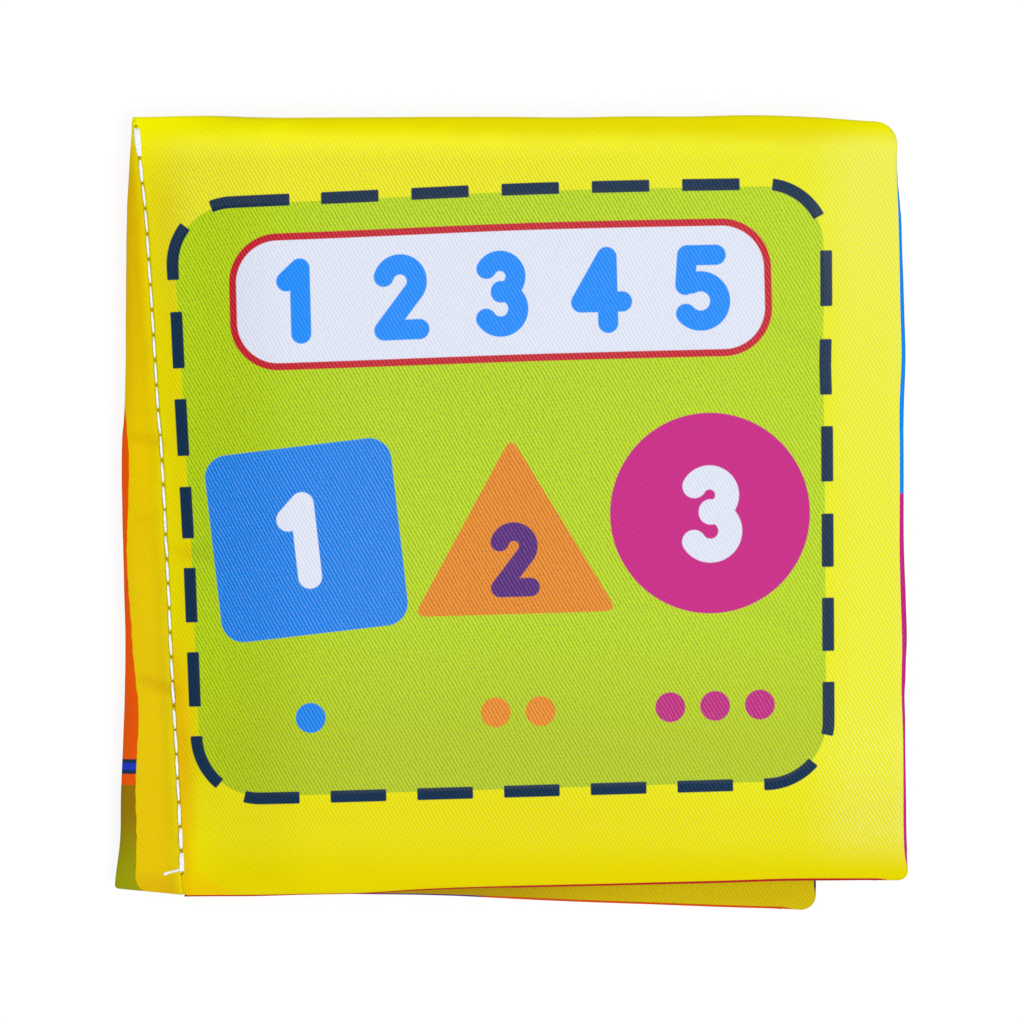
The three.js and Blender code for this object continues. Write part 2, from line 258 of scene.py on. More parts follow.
def edge_pucker(distance, along, seed):
    """Short wrinkles that run in from a turned edge."""
    near = wrinkles(distance, along, seed, *NEAR_WRINKLES)
    far = wrinkles(distance, along, seed + 1, *FAR_WRINKLES)
    return (near + far) * smooth(distance, *EDGE_CALM)


# Leaves
class Leaf:
    def __init__(self, name):
        self.name = name
        self.index = index = LEAVES.index(name)
        self.head = HEIGHT * HEAD_SHARES[index]
        self.tail = -HEIGHT * TAIL_SHARES[index]
        self.height = self.head - self.tail
        reach = REACH * REACH_SHARES[index]
        self.fore_head = (reach, self.head - HEIGHT * HEAD_DROPS[index])
        self.fore_tail = (reach + REACH * FORE_LEANS[index], self.tail + HEIGHT * TAIL_RISES[index])
        self.sewn_top = ROW_Z - index * SEWN_PITCH
        self.free_top = FREE_STACK - index * (LEAF + PAGE_GAP)
        cover = index == 0
        self.fore_stray = FORE_STRAY if cover else LEAF_STRAY
        self.head_stray = HEAD_STRAY if cover else LEAF_STRAY
        under = BACK_TAIL_STRAY if index == len(LEAVES) - 1 else LEAF_STRAY[::-1]
        self.tail_stray = TAIL_STRAY if cover else under
        self.head_corner = COVER_HEAD_CORNER if cover else CORNER
        self.tail_corner = BACK_TAIL_CORNER if index == len(LEAVES) - 1 else CORNER
        self.fore_wrap = FORE_WRAP if cover else BACK_WRAP
        self.tail_wrap = TAIL_WRAP if cover else BACK_WRAP

    def hinge_x(self, y, gap):
        return (gap - y * math.sin(LEAN)) / math.cos(LEAN)

    def plan(self, from_fore, from_tail, gap):
        """Point of the frame at distances from the fore and tail edges, and the leaf's width there."""
        share = from_tail / self.height
        hinge_y = mixed(self.tail, self.head, share)
        hinge_x = self.hinge_x(hinge_y, gap)
        fore_x = mixed(self.fore_tail[0], self.fore_head[0], share)
        fore_y = mixed(self.fore_tail[1], self.fore_head[1], share)
        pull = 0
        for corner, from_end in ((self.tail_corner, from_tail), (self.head_corner, self.height - from_tail)):
            rest = np.maximum(0, corner - from_end)
            pull = pull + corner - np.sqrt(corner**2 - rest**2)
        fore_x = fore_x - pull + along_list(self.fore_stray, 1 - share)
        width = fore_x - hinge_x
        way = 1 - from_fore / width
        x = mixed(hinge_x, fore_x, way)
        y = mixed(hinge_y, fore_y, way)
        y = y + share * along_list(self.head_stray, way) - (1 - share) * along_list(self.tail_stray, way)
        return x + HEAD[0], y + HEAD[1], width

    def surface(self, from_fore, from_tail, side, gap, inset=0):
        """Points of one face, and their places beside the row and the depth of the creases there.
        side is 1 for the upper face, -1 for the lower.
        A distance below 0 lies on the other face, where the cloth has come round the edge."""
        fore, tail = np.abs(from_fore), np.abs(from_tail)
        x, y, width = self.plan(fore, tail, gap)
        head = self.height - tail
        turned = np.where((from_fore < 0) | (from_tail < 0), -1, 1)
        side = side * turned
        right, along = row_place(x, y)
        spread = smooth(right, WEDGE_START, WEDGE_START + WEDGE_LENGTH)
        slab = mixed(SEWN, LEAF, spread)
        slab_top = mixed(self.sewn_top, self.free_top, spread)
        fill = round_share(fore / EDGE_ROLL) * round_share(tail / EDGE_ROLL) * round_share(head / EDGE_ROLL)
        middle = slab_top - slab / 2 - DROOP * (slab - SEWN) * (1 - fill) / 2
        rim = SEWN / 2
        blunt = round_share(fore / rim) * round_share(tail / rim) * round_share(head / rim)
        half = rim * blunt + (slab - SEWN) * fill / 2
        free = smooth(np.minimum(np.minimum(fore, tail), head), *RIM_CALM)
        lift = self.relief(side, right, along, fore, tail, head, x, y) * free
        z = middle + side * (half + lift - np.minimum(inset, half))
        if self.index == len(LEAVES) - 1:
            flat = np.maximum(0, z - FLAT_CUT * fill * spread)
            z = np.where(side < 0, flat + inset, z)
        x = x + row_shift(right, along)
        outside = (self.index == 0) & (side > 0)
        crease = np.where(outside, -pull_heights(right, along), 0)
        return np.stack([x, y, z], -1), np.stack([right, along, crease], -1)

    def relief(self, side, right, along, fore, tail, head, x, y):
        """Height of the wrinkles on a face, outwards."""
        seed = 10 * self.index + np.where(side > 0, 1, 2).flat[0]
        edges = edge_pucker(fore, y, seed + FORE_SEED)
        edges = edges + edge_pucker(head, x, seed + HEAD_SEED)
        edges = edges + edge_pucker(tail, x, seed + TAIL_SEED)
        broad = sum(tall * ripples(x / wide, y / long, seed + step) for tall, wide, long, step in BROAD_WAVES)
        inner = smooth(right, *WAVES_START)
        total = edges + broad * inner + row_pucker(right, along, seed + ROW_SEED)
        if self.index == 0:
            total = np.where(side > 0, total + pull_heights(right, along), total)
        calm = np.minimum(total, CALM_TOP) - CALM_SINK * inner
        outside = (self.index == 0) & (side > 0)
        return np.where(outside, total, calm)


def round_share(share):
    rest = 1 - np.clip(share, 0, 1)
    return np.sqrt(1 - rest * rest)


# Grids
FINE_EDGE = (0, 0.03, 0.09, 0.17, 0.27, 0.38, 0.5, 0.62, 0.75, 0.9, 1.1, 1.35, 1.7, 2.1, 2.6, 3.1)
FINE_HINGE = (0, 0.12, 0.28, 0.5, 0.8, 1.15, 1.5, 1.9, 2.3, 2.8, 3.3)


def stations(length, near, far, step):
    """Distances from 0 to each length, with fixed ones at both ends, and the rest evenly spaced."""
    length = np.atleast_1d(length).astype(float)
    near, far = np.array(near), np.array(far)
    count = int(round((length.max() - near[-1] - far[-1]) / step))
    inner = np.linspace(0, 1, count + 1)[1:-1]
    start, end = near[-1], length[:, None] - far[-1]
    between = start + (end - start) * inner
    first = np.repeat(near[None], len(length), 0)
    last = length[:, None] - far[::-1]
    return np.concatenate([first, between, last], 1)


def face_grid(leaf, side, gap, step, inset=0, from_edge=0, from_hinge=0):
    """Points of one face of a leaf: rows from tail to head, columns from hinge to fore edge."""
    tail = stations(leaf.height - 2 * from_edge, FINE_EDGE, FINE_EDGE, step)[0] + from_edge
    width = leaf.plan(0 * tail, tail, gap)[2] - from_edge - from_hinge
    fore = stations(width, FINE_EDGE, FINE_HINGE, step)[:, ::-1] + from_edge
    tail = np.repeat(tail[:, None], fore.shape[1], 1)
    if from_edge == 0:
        share = tail / leaf.height
        fore_wrap = along_list(leaf.fore_wrap, 1 - share) * (1 - smooth(fore, 0, WRAP_REACH))
        way = 1 - fore / fore.max(1)[:, None]
        tail_wrap = along_list(leaf.tail_wrap, way) * (1 - smooth(tail, 0, WRAP_REACH))
        from_end = np.minimum(tail, leaf.height - tail)
        fore_wrap = fore_wrap * smooth(from_end, *WRAP_FADE)
        tail_wrap = tail_wrap * smooth(fore, *WRAP_FADE)
        shows = leaf.index in (0, len(LEAVES) - 1)
        fore = fore + (side * fore_wrap if shows else 0)
        tail = tail + (side * tail_wrap if shows else 0)
    return leaf.surface(fore, tail, side, gap, inset)


def normals(points):
    across = np.gradient(points, axis=1)
    along = np.gradient(points, axis=0)
    cross = np.cross(across, along)
    return cross / np.maximum(np.linalg.norm(cross, axis=-1, keepdims=True), 1e-9)


def flat_lengths(points):
    """The cloth's own coordinates: lengths along it from its middle, east and north."""
    rows, columns = points.shape[:2]
    east = np.zeros((rows, columns))
    north = np.zeros((rows, columns))
    east[:, 1:] = np.cumsum(np.linalg.norm(np.diff(points, axis=1), axis=-1), 1)
    north[1:] = np.cumsum(np.linalg.norm(np.diff(points, axis=0), axis=-1), 0)
    mid_row, mid_column = rows // 2, columns // 2
    east += (points[:, mid_column, 0] - east[:, mid_column])[:, None]
    north += (points[mid_row, :, 1] - north[mid_row])[None]
    return np.stack([east, north], -1)


def grid_faces(rows, columns, start=0, flip=False):
    index = start + np.arange(rows * columns).reshape(rows, columns)
    a, b, c, d = index[:-1, :-1], index[:-1, 1:], index[1:, 1:], index[1:, :-1]
    corners = [a, d, c, b] if flip else [a, b, c, d]
    return np.stack([corner.ravel() for corner in corners], -1)


def row_maps(row):
    """Maps with the place right of the row and the stitches up to there, and with the depth of creases."""
    right, along, crease = (row[..., k] for k in range(3))
    return {"row": np.stack([right, stitch_count(along)], -1), "crease": np.stack([crease, along], -1)}


def rim_faces(rows, columns, start, flip):
    index = np.arange(rows * columns).reshape(rows, columns)
    loop = np.concatenate([index[0, :-1], index[:-1, -1], index[-1, :0:-1], index[:0:-1, 0]])
    after = np.roll(loop, -1)
    corners = [loop, loop + start, after + start, after]
    if flip:
        corners.reverse()
    return np.stack(corners, -1)


def add_object(name, data):
    made = bpy.data.objects.new(name, data)
    bpy.context.scene.collection.objects.link(made)
    return made


def add_mesh(name, points, faces, uvs):
    mesh = bpy.data.meshes.new(name)
    mesh.from_pydata((points * MM).tolist(), [], faces.tolist())
    for uv_name, uv in uvs.items():
        layer = mesh.uv_layers.new(name=uv_name)
        layer.data.foreach_set("uv", (uv[faces.ravel()] * MM).astype(np.float32).ravel())
    mesh.shade_smooth()
    mesh.validate()
    return add_object(name, mesh)


def closed_mesh(name, points, inner, flip=False, uvs=None):
    """Closed body between two grids of points. flip is for an outer face that looks down."""
    rows, columns = points.shape[:2]
    start = rows * columns
    both = np.concatenate([points.reshape(-1, 3), inner.reshape(-1, 3)])
    outer_faces, inner_faces = grid_faces(rows, columns, 0, flip), grid_faces(rows, columns, start, not flip)
    faces = np.concatenate([outer_faces, inner_faces, rim_faces(rows, columns, start, flip)])
    doubled = {key: np.tile(uv.reshape(-1, 2), (2, 1)) for key, uv in (uvs or {}).items()}
    return add_mesh(name, both, faces, doubled)


def add_sheet(name, points, thickness, flip=False, uvs=None):
    """Closed sheet with points as its outer face."""
    out = normals(points) * (-1 if flip else 1)
    return closed_mesh(name, points, points - out * thickness, flip, uvs)


def dress(piece, material, body=None, node=None):
    """Gives a piece its material and slot, and where there is one the body that carries it and its node."""
    piece.data.materials.append(material)
    if body:
        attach(piece, body)
    if node:
        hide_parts(node)
    return piece


# Material signals: numbers that a material works out at each point
class Signal:
    def __init__(self, tree, socket):
        self.tree, self.socket = tree, socket

    def math(self, operation, *others):
        node = self.tree.nodes.new("ShaderNodeMath")
        node.operation = operation
        for slot, value in zip(node.inputs, (self,) + others):
            if isinstance(value, Signal):
                self.tree.links.new(value.socket, slot)
            else:
                slot.default_value = value
        return Signal(self.tree, node.outputs[0])

    def __add__(self, other):
        return self.math("ADD", other)

    def __sub__(self, other):
        return self.math("SUBTRACT", other)

    def __mul__(self, other):
        return self.math("MULTIPLY", other)

    def __truediv__(self, other):
        return self.math("DIVIDE", other)

    __radd__, __rmul__ = __add__, __mul__

    def __rsub__(self, other):
        return self * -1 + other

    def __abs__(self):
        return self.math("ABSOLUTE")

    def least(self, other):
        return self.math("MINIMUM", other)

    def most(self, other):
        return self.math("MAXIMUM", other)

    def over(self, other):
        return self.math("GREATER_THAN", other)

    def ramp(self, start, end):
        node = self.tree.nodes.new("ShaderNodeMapRange")
        node.interpolation_type = "SMOOTHSTEP"
        self.tree.links.new(self.socket, node.inputs["Value"])
        node.inputs["From Min"].default_value = start
        node.inputs["From Max"].default_value = end
        return Signal(self.tree, node.outputs["Result"])


def grown(signal, least, more):
    """Share that grows with a signal, from its least by so much more."""
    return signal * more + least


def length(x, y):
    return (x * x + y * y).math("SQRT")


def turned(x, y, degrees):
    cos, sin = math.cos(math.radians(degrees)), math.sin(math.radians(degrees))
    return x * cos + y * sin, y * cos - x * sin


def box(x, y, half_x, half_y, radius):
    """Distance outside a rounded box round the origin."""
    over_x, over_y = abs(x) - half_x + radius, abs(y) - half_y + radius
    return length(over_x.most(0), over_y.most(0)) + over_x.most(over_y).least(0) - radius


def disc(x, y, radius):
    return length(x, y) - radius


def stroke(x, y, start, end, radius):
    run_x, run_y = end[0] - start[0], end[1] - start[1]
    square = run_x**2 + run_y**2
    from_x, from_y = x - start[0], y - start[1]
    way = ((from_x * run_x + from_y * run_y) / square).most(0).least(1)
    return length(from_x - way * run_x, from_y - way * run_y) - radius


def bow(x, y, centre, bend, middle, half_angle, radius):
    """Distance outside a thick arc: its centre, bend radius, middle direction and half angle."""
    dx, dy = turned(x - centre[0], y - centre[1], middle - 90)
    dx = abs(dx)
    sin, cos = math.sin(math.radians(half_angle)), math.cos(math.radians(half_angle))
    past = (dx * cos - dy * sin).over(0)
    ring = abs(length(dx, dy) - bend)
    tip = length(dx - bend * sin, dy - bend * cos)
    return ring + past * (tip - ring) - radius


def triangle(x, y, size, radius):
    sides = [turned(x, y, angle)[0] for angle in (-90, 30, 150)]
    top = sides[0].math("SMOOTH_MAX", sides[1], radius)
    return top.math("SMOOTH_MAX", sides[2], radius) - size


# Digits, in shares of their half height: strokes from point to point, and arcs by their centre, bend radius,
# middle direction and half angle
DIGIT_SHARES = {
    1: (((0, -1), (0, 1)), ((0, 1), (-0.42, 0.62))),
    2: (((0, 0.48), 0.52, 62, 100), ((0.41, 0.16), (-0.52, -1)), ((-0.52, -1), (0.56, -1))),
    3: (((0, 0.5), 0.48, 30, 118), ((0, -0.48), 0.54, -30, 118)),
    4: (((0.22, -1), (0.22, 1)), ((0.22, 1), (-0.6, -0.36)), ((-0.6, -0.36), (0.66, -0.36))),
    5: (((0.5, 1), (-0.38, 1)), ((-0.38, 1), (-0.46, 0.1)), ((0, -0.4), 0.6, -12, 128)),
}


def digit(x, y, value, height, radius):
    """Distance outside a plain round-ended digit, centred on the origin."""
    half = height / 2 - radius
    total = None
    for first, second, *angles in DIGIT_SHARES[value]:
        start = (first[0] * half, first[1] * half)
        if angles:
            part = bow(x, y, start, second * half, *angles, radius)
        else:
            part = stroke(x, y, start, (second[0] * half, second[1] * half), radius)
        total = part if total is None else total.least(part)
    return total


def linear(colour):
    """sRGB numbers from 0 to 255 as Blender's linear colour."""
    shares = [channel / 255 for channel in colour]
    return tuple(c / 12.92 if c <= 0.04045 else ((c + 0.055) / 1.055) ** 2.4 for c in shares) + (1,)


PRINT_SOFTNESS = 0.09


def inside_of(distance):
    """1 inside a printed shape, 0 outside it, and soft between."""
    return 1 - distance.ramp(-PRINT_SOFTNESS, PRINT_SOFTNESS)


class Paint:
    """The node tree of one material, with a colour that shapes are laid on."""

    def __init__(self, name, ground):
        self.material = bpy.data.materials.new(name)
        self.material.use_nodes = True
        self.tree = self.material.node_tree
        self.shader = self.tree.nodes["Principled BSDF"]
        plain = self.node("ShaderNodeRGB")
        plain.outputs[0].default_value = linear(ground)
        self.colour = plain.outputs[0]

    def node(self, kind, **settings):
        made = self.tree.nodes.new(kind)
        for key, value in settings.items():
            setattr(made, key, value)
        return made

    def uv(self, uv_name="cloth", flip=1):
        """The cloth's own coordinates in millimetres."""
        made = self.node("ShaderNodeUVMap", uv_map=uv_name)
        parts = self.node("ShaderNodeSeparateXYZ")
        self.tree.links.new(made.outputs[0], parts.inputs[0])
        x, y = (Signal(self.tree, parts.outputs[k]) for k in (0, 1))
        return x * (flip / MM), y * (1 / MM)

    def vector(self, x, y):
        made = self.node("ShaderNodeCombineXYZ")
        for value, slot in zip((x, y), made.inputs):
            self.tree.links.new(value.socket, slot)
        return made.outputs[0]

    def noise(self, x, y, scale, detail=2):
        made = self.node("ShaderNodeTexNoise", noise_dimensions="2D")
        self.tree.links.new(self.vector(x, y), made.inputs["Vector"])
        made.inputs["Scale"].default_value = scale
        made.inputs["Detail"].default_value = detail
        return Signal(self.tree, made.outputs["Fac"])

    def solid_noise(self, scale, detail):
        place = self.node("ShaderNodeTexCoord")
        made = self.node("ShaderNodeTexNoise")
        self.tree.links.new(place.outputs["Object"], made.inputs["Vector"])
        made.inputs["Scale"].default_value = scale
        made.inputs["Detail"].default_value = detail
        return Signal(self.tree, made.outputs["Fac"])

    def blend(self, colour, share):
        """Lays a colour on what there is, by a signal."""
        made = self.node("ShaderNodeMix", data_type="RGBA")
        self.tree.links.new(share.socket, made.inputs["Factor"])
        self.tree.links.new(self.colour, made.inputs["A"])
        made.inputs["B"].default_value = linear(colour)
        self.colour = made.outputs["Result"]

    def lay(self, colour, distance):
        """Prints a shape: distance is below 0 inside it."""
        self.blend(colour, inside_of(distance))

    def finish(self, rough, height, bump_height, bump_share=1):
        """Joins the colour, a roughness and a bump to the shader."""
        bump = self.node("ShaderNodeBump")
        bump.inputs["Distance"].default_value = bump_height * MM
        bump.inputs["Strength"].default_value = bump_share
        self.tree.links.new(height.socket, bump.inputs["Height"])
        inputs = self.shader.inputs
        self.tree.links.new(self.colour, inputs["Base Color"])
        self.tree.links.new(rough.socket, inputs["Roughness"])
        self.tree.links.new(bump.outputs[0], inputs["Normal"])
        return self.material


# Twill: ribs from top left to bottom right
RIB_PITCH = 0.462
RIB_ANGLE = 59.5
RIB_BUMP, RIB_BUMP_SHARE = 0.05, 0.6
YARN_PITCH = 0.52
YARN_STEP_SHARE = 0.37
YARN_SHARE = 0.25
CREST_SHARPNESS = 1.7
# Slow and quick sway of the ribs: noise scale, height in pitches
SLOW_SWAY, QUICK_SWAY = (0.35, 0.5), (2.2, 0.22)
FLECK_SCALE, FLECK_RAMP = 1.9, (0.35, 0.7)
# Least share and growth with the flecks
FLECK_DARK, FLECK_LIGHT = (0.85, 0.3), (0.6, 0.8)
PATCH_SCALE, PATCH_ROUGHNESS = 0.05, 0.2
FINE_DETAIL = 4
CLOTH_ROUGHNESS = 0.62
CLOTH_GLOSS = 0.02
# Pages: painted shade in the twill's grooves and painted sheen on its ribs
PAGE_DEPTH, PAGE_SHEEN = 0.2, 0.02


def twill(paint, x, y):
    """Height of the twill's ribs from 0 to 1."""
    across = math.radians(90 - RIB_ANGLE)
    slow, quick = (paint.noise(x, y, scale) * height for scale, height in (SLOW_SWAY, QUICK_SWAY))
    phase = (x * math.cos(across) + y * math.sin(across)) / RIB_PITCH + (slow + quick)
    run = (y * math.cos(across) - x * math.sin(across)) / YARN_PITCH
    wave = (phase * (2 * math.pi)).math("COSINE") * 0.5 + 0.5
    beat = ((run + phase.math("FLOOR") * YARN_STEP_SHARE) * (2 * math.pi)).math("COSINE") * 0.5 + 0.5
    return wave * (beat * YARN_SHARE + (1 - YARN_SHARE))


def finish_cloth(paint, depth=PAGE_DEPTH, sheen=PAGE_SHEEN, even_sheen=0):
    """Weave and flecks over the print, and the shader's finish. depth is how much painted shade darkens the
    grooves of the twill, sheen how much painted white sheen lies on its ribs, and the last how much painted
    sheen lies evenly."""
    x, y = paint.uv()
    ribs = twill(paint, x, y)
    crest = ribs.math("POWER", CREST_SHARPNESS)
    patch = paint.noise(x, y, PATCH_SCALE, FINE_DETAIL)
    fleck = paint.noise(x, y, FLECK_SCALE, FINE_DETAIL).ramp(*FLECK_RAMP)
    # Painted shade in the twill's grooves
    paint.blend((0, 0, 0), (1 - crest) * grown(fleck, *FLECK_DARK) * depth)
    # Painted sheen on the ribs, and painted sheen that lies evenly
    paint.blend((255, 255, 255), crest * grown(fleck, *FLECK_LIGHT) * sheen + even_sheen)
    paint.shader.inputs["Specular IOR Level"].default_value = CLOTH_GLOSS
    rough = grown(patch, CLOTH_ROUGHNESS, PATCH_ROUGHNESS)
    return paint.finish(rough, ribs, RIB_BUMP, RIB_BUMP_SHARE)


YELLOW = (238, 234, 0)
# Painted shade on the cover's yellow: to the right against the key lamp, along head and tail, on the slope
# beside the row; golden painted shade and bounce light by the row and in creases
RIGHT_SHADE_YELLOW = (229, 230, 0)
HEAD_SHADE_YELLOW = (225, 214, 0)
TAIL_SHADE_YELLOW = (221, 205, 0)
ROW_SLOPE_SHADE_YELLOW = (221, 207, 0)
SHADE_GOLD = (226, 190, 0)
DARK_SHADE_GOLD = (214, 168, 0)
CREASE_SHADE_GOLD = (206, 160, 0)
LIME = (193, 226, 0)
# Painted shade on the lime: towards the tail, at its left middle and in its creases
TAIL_SHADE_LIME = (185, 208, 0)
SHADE_LIME = (164, 196, 0)
NAVY = (20, 48, 76)
BLUE = (6, 138, 248)
ORANGE = (242, 145, 28)
DEEP_ORANGE = (226, 84, 0)
MAGENTA = (198, 34, 133)
RED = (210, 24, 44)
DARK_RED = (194, 30, 22)
WHITE = (222, 227, 243)
PURPLE = (92, 32, 132)
OLIVE = (144, 111, 0)
GREEN = (150, 153, 0)
# Painted shadow of the cover on page 7: its darker ground, and the ochre at its left
SHADOW_OCHRE = (180, 148, 0)
SHADOWED_PEEK_YELLOW = (213, 190, 0)
BAND_BLUE = (30, 54, 186)
# Painted shade in the needle holes and painted shadow along the thread
ROW_SHADE_BROWN = (96, 84, 8)

# The panel's place and slants on the cover, at the middle of its dashed border
PANEL_MIDDLE = (-0.76, 2.76)
PANEL_HALF = (43.09, 40.05)
PANEL_LEANS = (0.0266, -0.03)
PANEL_TAPERS = (0.0212, 0.0013)
# Its upper edge bows upwards, with a wave in its left half
PANEL_BOW, BOW_REACH, BOW_RISE = 0.55, 44, 40
PANEL_WAVE, WAVE_LENGTH, WAVE_START, WAVE_STOP = 0.11, 60, -23, 7
# Its sides: where they begin, dips (middle, reach, depth), and the left one's swell near the top
SIDE_ZONE = (30, 38)
LEFT_DIP, RIGHT_DIP = (-5, 20, 0.18), (19.7, 9, 0.2)
LEFT_SWELL, LEFT_SWELL_ZONE = 0.2, (26, 30)
DASH_RADIUS = 8.3
DASH_HALF_WIDTH = 0.81
DASH_OUTSET = 0.34
DASH_CORNER = 0.2
# Rows of dashes, along the border from the middle of each side: one dash's middle, pitch, half length
TOP_DASHES = (-7.72, 12.1, 3.86)
LOW_DASHES = (2.45, 11.62, 3.74)
LEFT_DASHES = (-1.5, 11.47, 3.72)
RIGHT_DASHES = (3.75, 11.5, 3.65)
# Dashes of the upper corners: middle and half length
CORNER_DASHES = ((-33.25, 5.36), (40.8, 3.8))
# Where the top's and the foot's dashes give way to those of the left and right sides
TOP_END, LOW_END = (-39.9, 46.5), (-37.4, 42)


def peak(value, middle, reach, height=1):
    return (1 - abs((value - middle) / reach).least(1)) * height


def panel_place(x, y):
    """Coordinates of the slanted panel, with its half width and half height there."""
    up, right = y - PANEL_MIDDLE[1], x - PANEL_MIDDLE[0]
    wave = ((right.least(WAVE_STOP) - WAVE_START) * (2 * math.pi / WAVE_LENGTH)).math("COSINE") + 1
    arch = (1 - right * right / BOW_REACH**2) * PANEL_BOW - wave * PANEL_WAVE
    bow = arch * (up / BOW_RISE).most(0).least(1)
    left_swell = y.ramp(*LEFT_SWELL_ZONE) * LEFT_SWELL - peak(y, *LEFT_DIP)
    swell = (x * -1).ramp(*SIDE_ZONE) * left_swell - x.ramp(*SIDE_ZONE) * peak(y, *RIGHT_DIP)
    across = right + up * PANEL_LEANS[0]
    rise = up + right * PANEL_LEANS[1] - bow
    half_x = up * PANEL_TAPERS[0] + PANEL_HALF[0] + swell
    half_y = right * PANEL_TAPERS[1] + PANEL_HALF[1]
    return across, rise, half_x, half_y


def dash_row(place, middle, pitch, half):
    """Distance outside the evenly spaced dashes of a line."""
    beat = (place - middle) / pitch
    return abs(beat - beat.math("ROUND")) * pitch - half


def within(place, ends):
    return place.over(ends[0]) * (1 - place.over(ends[1]))


def dashes(across, rise, half_x, half_y, ring):
    """Distance outside the dashed border. ring is the distance outside its middle line."""
    reach_x, reach_y = half_x - DASH_RADIUS, half_y - DASH_RADIUS
    high, right = rise.over(0), across.over(0)
    over_x, over_y = abs(across) - reach_x, abs(rise) - reach_y
    turn = over_x.most(0).math("ARCTAN2", over_y.most(0.0001)) * DASH_RADIUS
    beside = over_x.over(0) * (over_y * -1).most(0)
    from_middle = reach_x + over_x.least(0) + turn + beside
    place = from_middle * (right * 2 - 1)
    to_side = PANEL_HALF[0] + PANEL_HALF[1] - DASH_RADIUS * (2 - math.pi / 2)
    climb = (to_side - from_middle) * (high * 2 - 1)
    top = dash_row(place, *TOP_DASHES)
    for middle, half in CORNER_DASHES:
        top = top.least(abs(place - middle) - half)
    low = dash_row(place, *LOW_DASHES)
    left, right_side = dash_row(climb, *LEFT_DASHES), dash_row(climb, *RIGHT_DASHES)
    side = left + right * (right_side - left)
    end = low + high * (top - low)
    on_end = high * within(place, TOP_END) + (1 - high) * within(place, LOW_END)
    gap = side + on_end * (end - side)
    over_width = abs(ring) - DASH_HALF_WIDTH
    return length((gap + DASH_CORNER).most(0), (over_width + DASH_CORNER).most(0)) - DASH_CORNER


# Zones of the cover's painted shade, each from where it starts to where it is full: across, up, or right of
# the row
RIGHT_SHADE_ZONE = (-15, 42)
HEAD_BAND, HEAD_BAND_SLOPE, HEAD_BAND_LEFT = (49.3, 52.3), 0.025, (-46, -36)
HEAD_FADE, HEAD_FADE_SHARE = (40, 50), 0.6
TAIL_EARLY, TAIL_LATE, EARLY_ZONE, EARLY_SHARE = (-31, -42), (-42, -50), (40, 0), (0.4, 0.25)
STRIP_ZONE, STRIP_HEAD, STRIP_TAIL = (8, 1.5), (57, 39), (-46, -34)
GOLD_ZONE, GOLD_HEAD = (3.4, 0.9), (-14, -25)
GOLD_NARROWING, GOLD_NARROW_ZONE = 0.8, (-34, -40)
FOOT_BAND, FOOT_WEDGE, FOOT_SLOPE, FOOT_PLACE = (-46.5, -51), (6, 0), 1.4, 68
CREASE_ZONE, CREASE_SHARE = (1.9, 0.5), 0.3
GROUND_SWAY_SCALE, GROUND_SWAY = 0.12, 2
FOLD_SHADE_ZONE, FOLD_SHADE_SHARE = (0.04, 0.45), 0.4


def sway_of(paint, x, y, scale, reach):
    """Slow random sway, half of reach to either side."""
    return (paint.noise(x, y, scale) - 0.5) * reach


def cover_ground(paint, x, y):
    """Yellow of the cover with painted shade: a little darker to the right, where it evens out the key lamp's
    light, golden painted shade and bounce light beside the sewn row, and deeper painted shade along head and
    tail.
    """
    right, _ = paint.uv("row")
    sway = sway_of(paint, x, y, GROUND_SWAY_SCALE, GROUND_SWAY)
    # Painted shade: darker yellow to the right, evening out the key lamp there
    paint.blend(RIGHT_SHADE_YELLOW, x.ramp(*RIGHT_SHADE_ZONE))
    # Painted shade along the head edge, where the cloth rolls away from the light
    head = (y + x * HEAD_BAND_SLOPE + sway).ramp(*HEAD_BAND) * x.ramp(*HEAD_BAND_LEFT)
    paint.blend(HEAD_SHADE_YELLOW, head * (1 - x.ramp(*HEAD_FADE) * HEAD_FADE_SHARE))
    # Painted shade towards the tail, earlier on the left
    early = grown(x.ramp(*EARLY_ZONE), *EARLY_SHARE)
    paint.blend(TAIL_SHADE_YELLOW, y.ramp(*TAIL_EARLY) * early + y.ramp(*TAIL_LATE) * (1 - early))
    # Painted shade on the slope right of the row, which faces away from the light
    paint.blend(ROW_SLOPE_SHADE_YELLOW, (right + sway).ramp(*STRIP_ZONE) * y.ramp(*STRIP_HEAD) * y.ramp(*STRIP_TAIL))
    # Golden painted shade and bounce light beside the row's lower half and at the foot
    low = y.ramp(*GOLD_HEAD) * (right + y.ramp(*GOLD_NARROW_ZONE) * GOLD_NARROWING).ramp(*GOLD_ZONE)
    foot = y.ramp(*FOOT_BAND) * (right + y * FOOT_SLOPE + FOOT_PLACE).ramp(*FOOT_WEDGE)
    paint.blend(SHADE_GOLD, low.most(foot))
    # Deeper golden painted shade close to the row
    paint.blend(CREASE_SHADE_GOLD, low * right.ramp(*CREASE_ZONE) * CREASE_SHARE)


def lay_crease_shade(paint, colour, inside=1):
    """Painted shade in the folds: a deeper colour where they lie, as the cloth there lights itself."""
    crease, _ = paint.uv("crease")
    paint.blend(colour, crease.ramp(*FOLD_SHADE_ZONE) * inside * FOLD_SHADE_SHARE)


# Painted sheen: white on the ribs, and white that lies evenly, in the zones of the cover
WHITE_HEAD, WHITE_FOOT, WHITE_SIDE = (20, 42), (-20, -32), (38, 47)
WHITE_TOP_RIM, WHITE_LOW_RIM, WHITE_FROM_ROW = (48.7, 52), (-48.5, -42), (0, 7)
EVEN_SHEEN_RISE, EVEN_SHEEN_RIM = (-10, 40), (50, 53)
LIME_LEFT = (-42, -15)
CALM_SHARE, BRIGHT_SHEEN = 0.9, 0.085
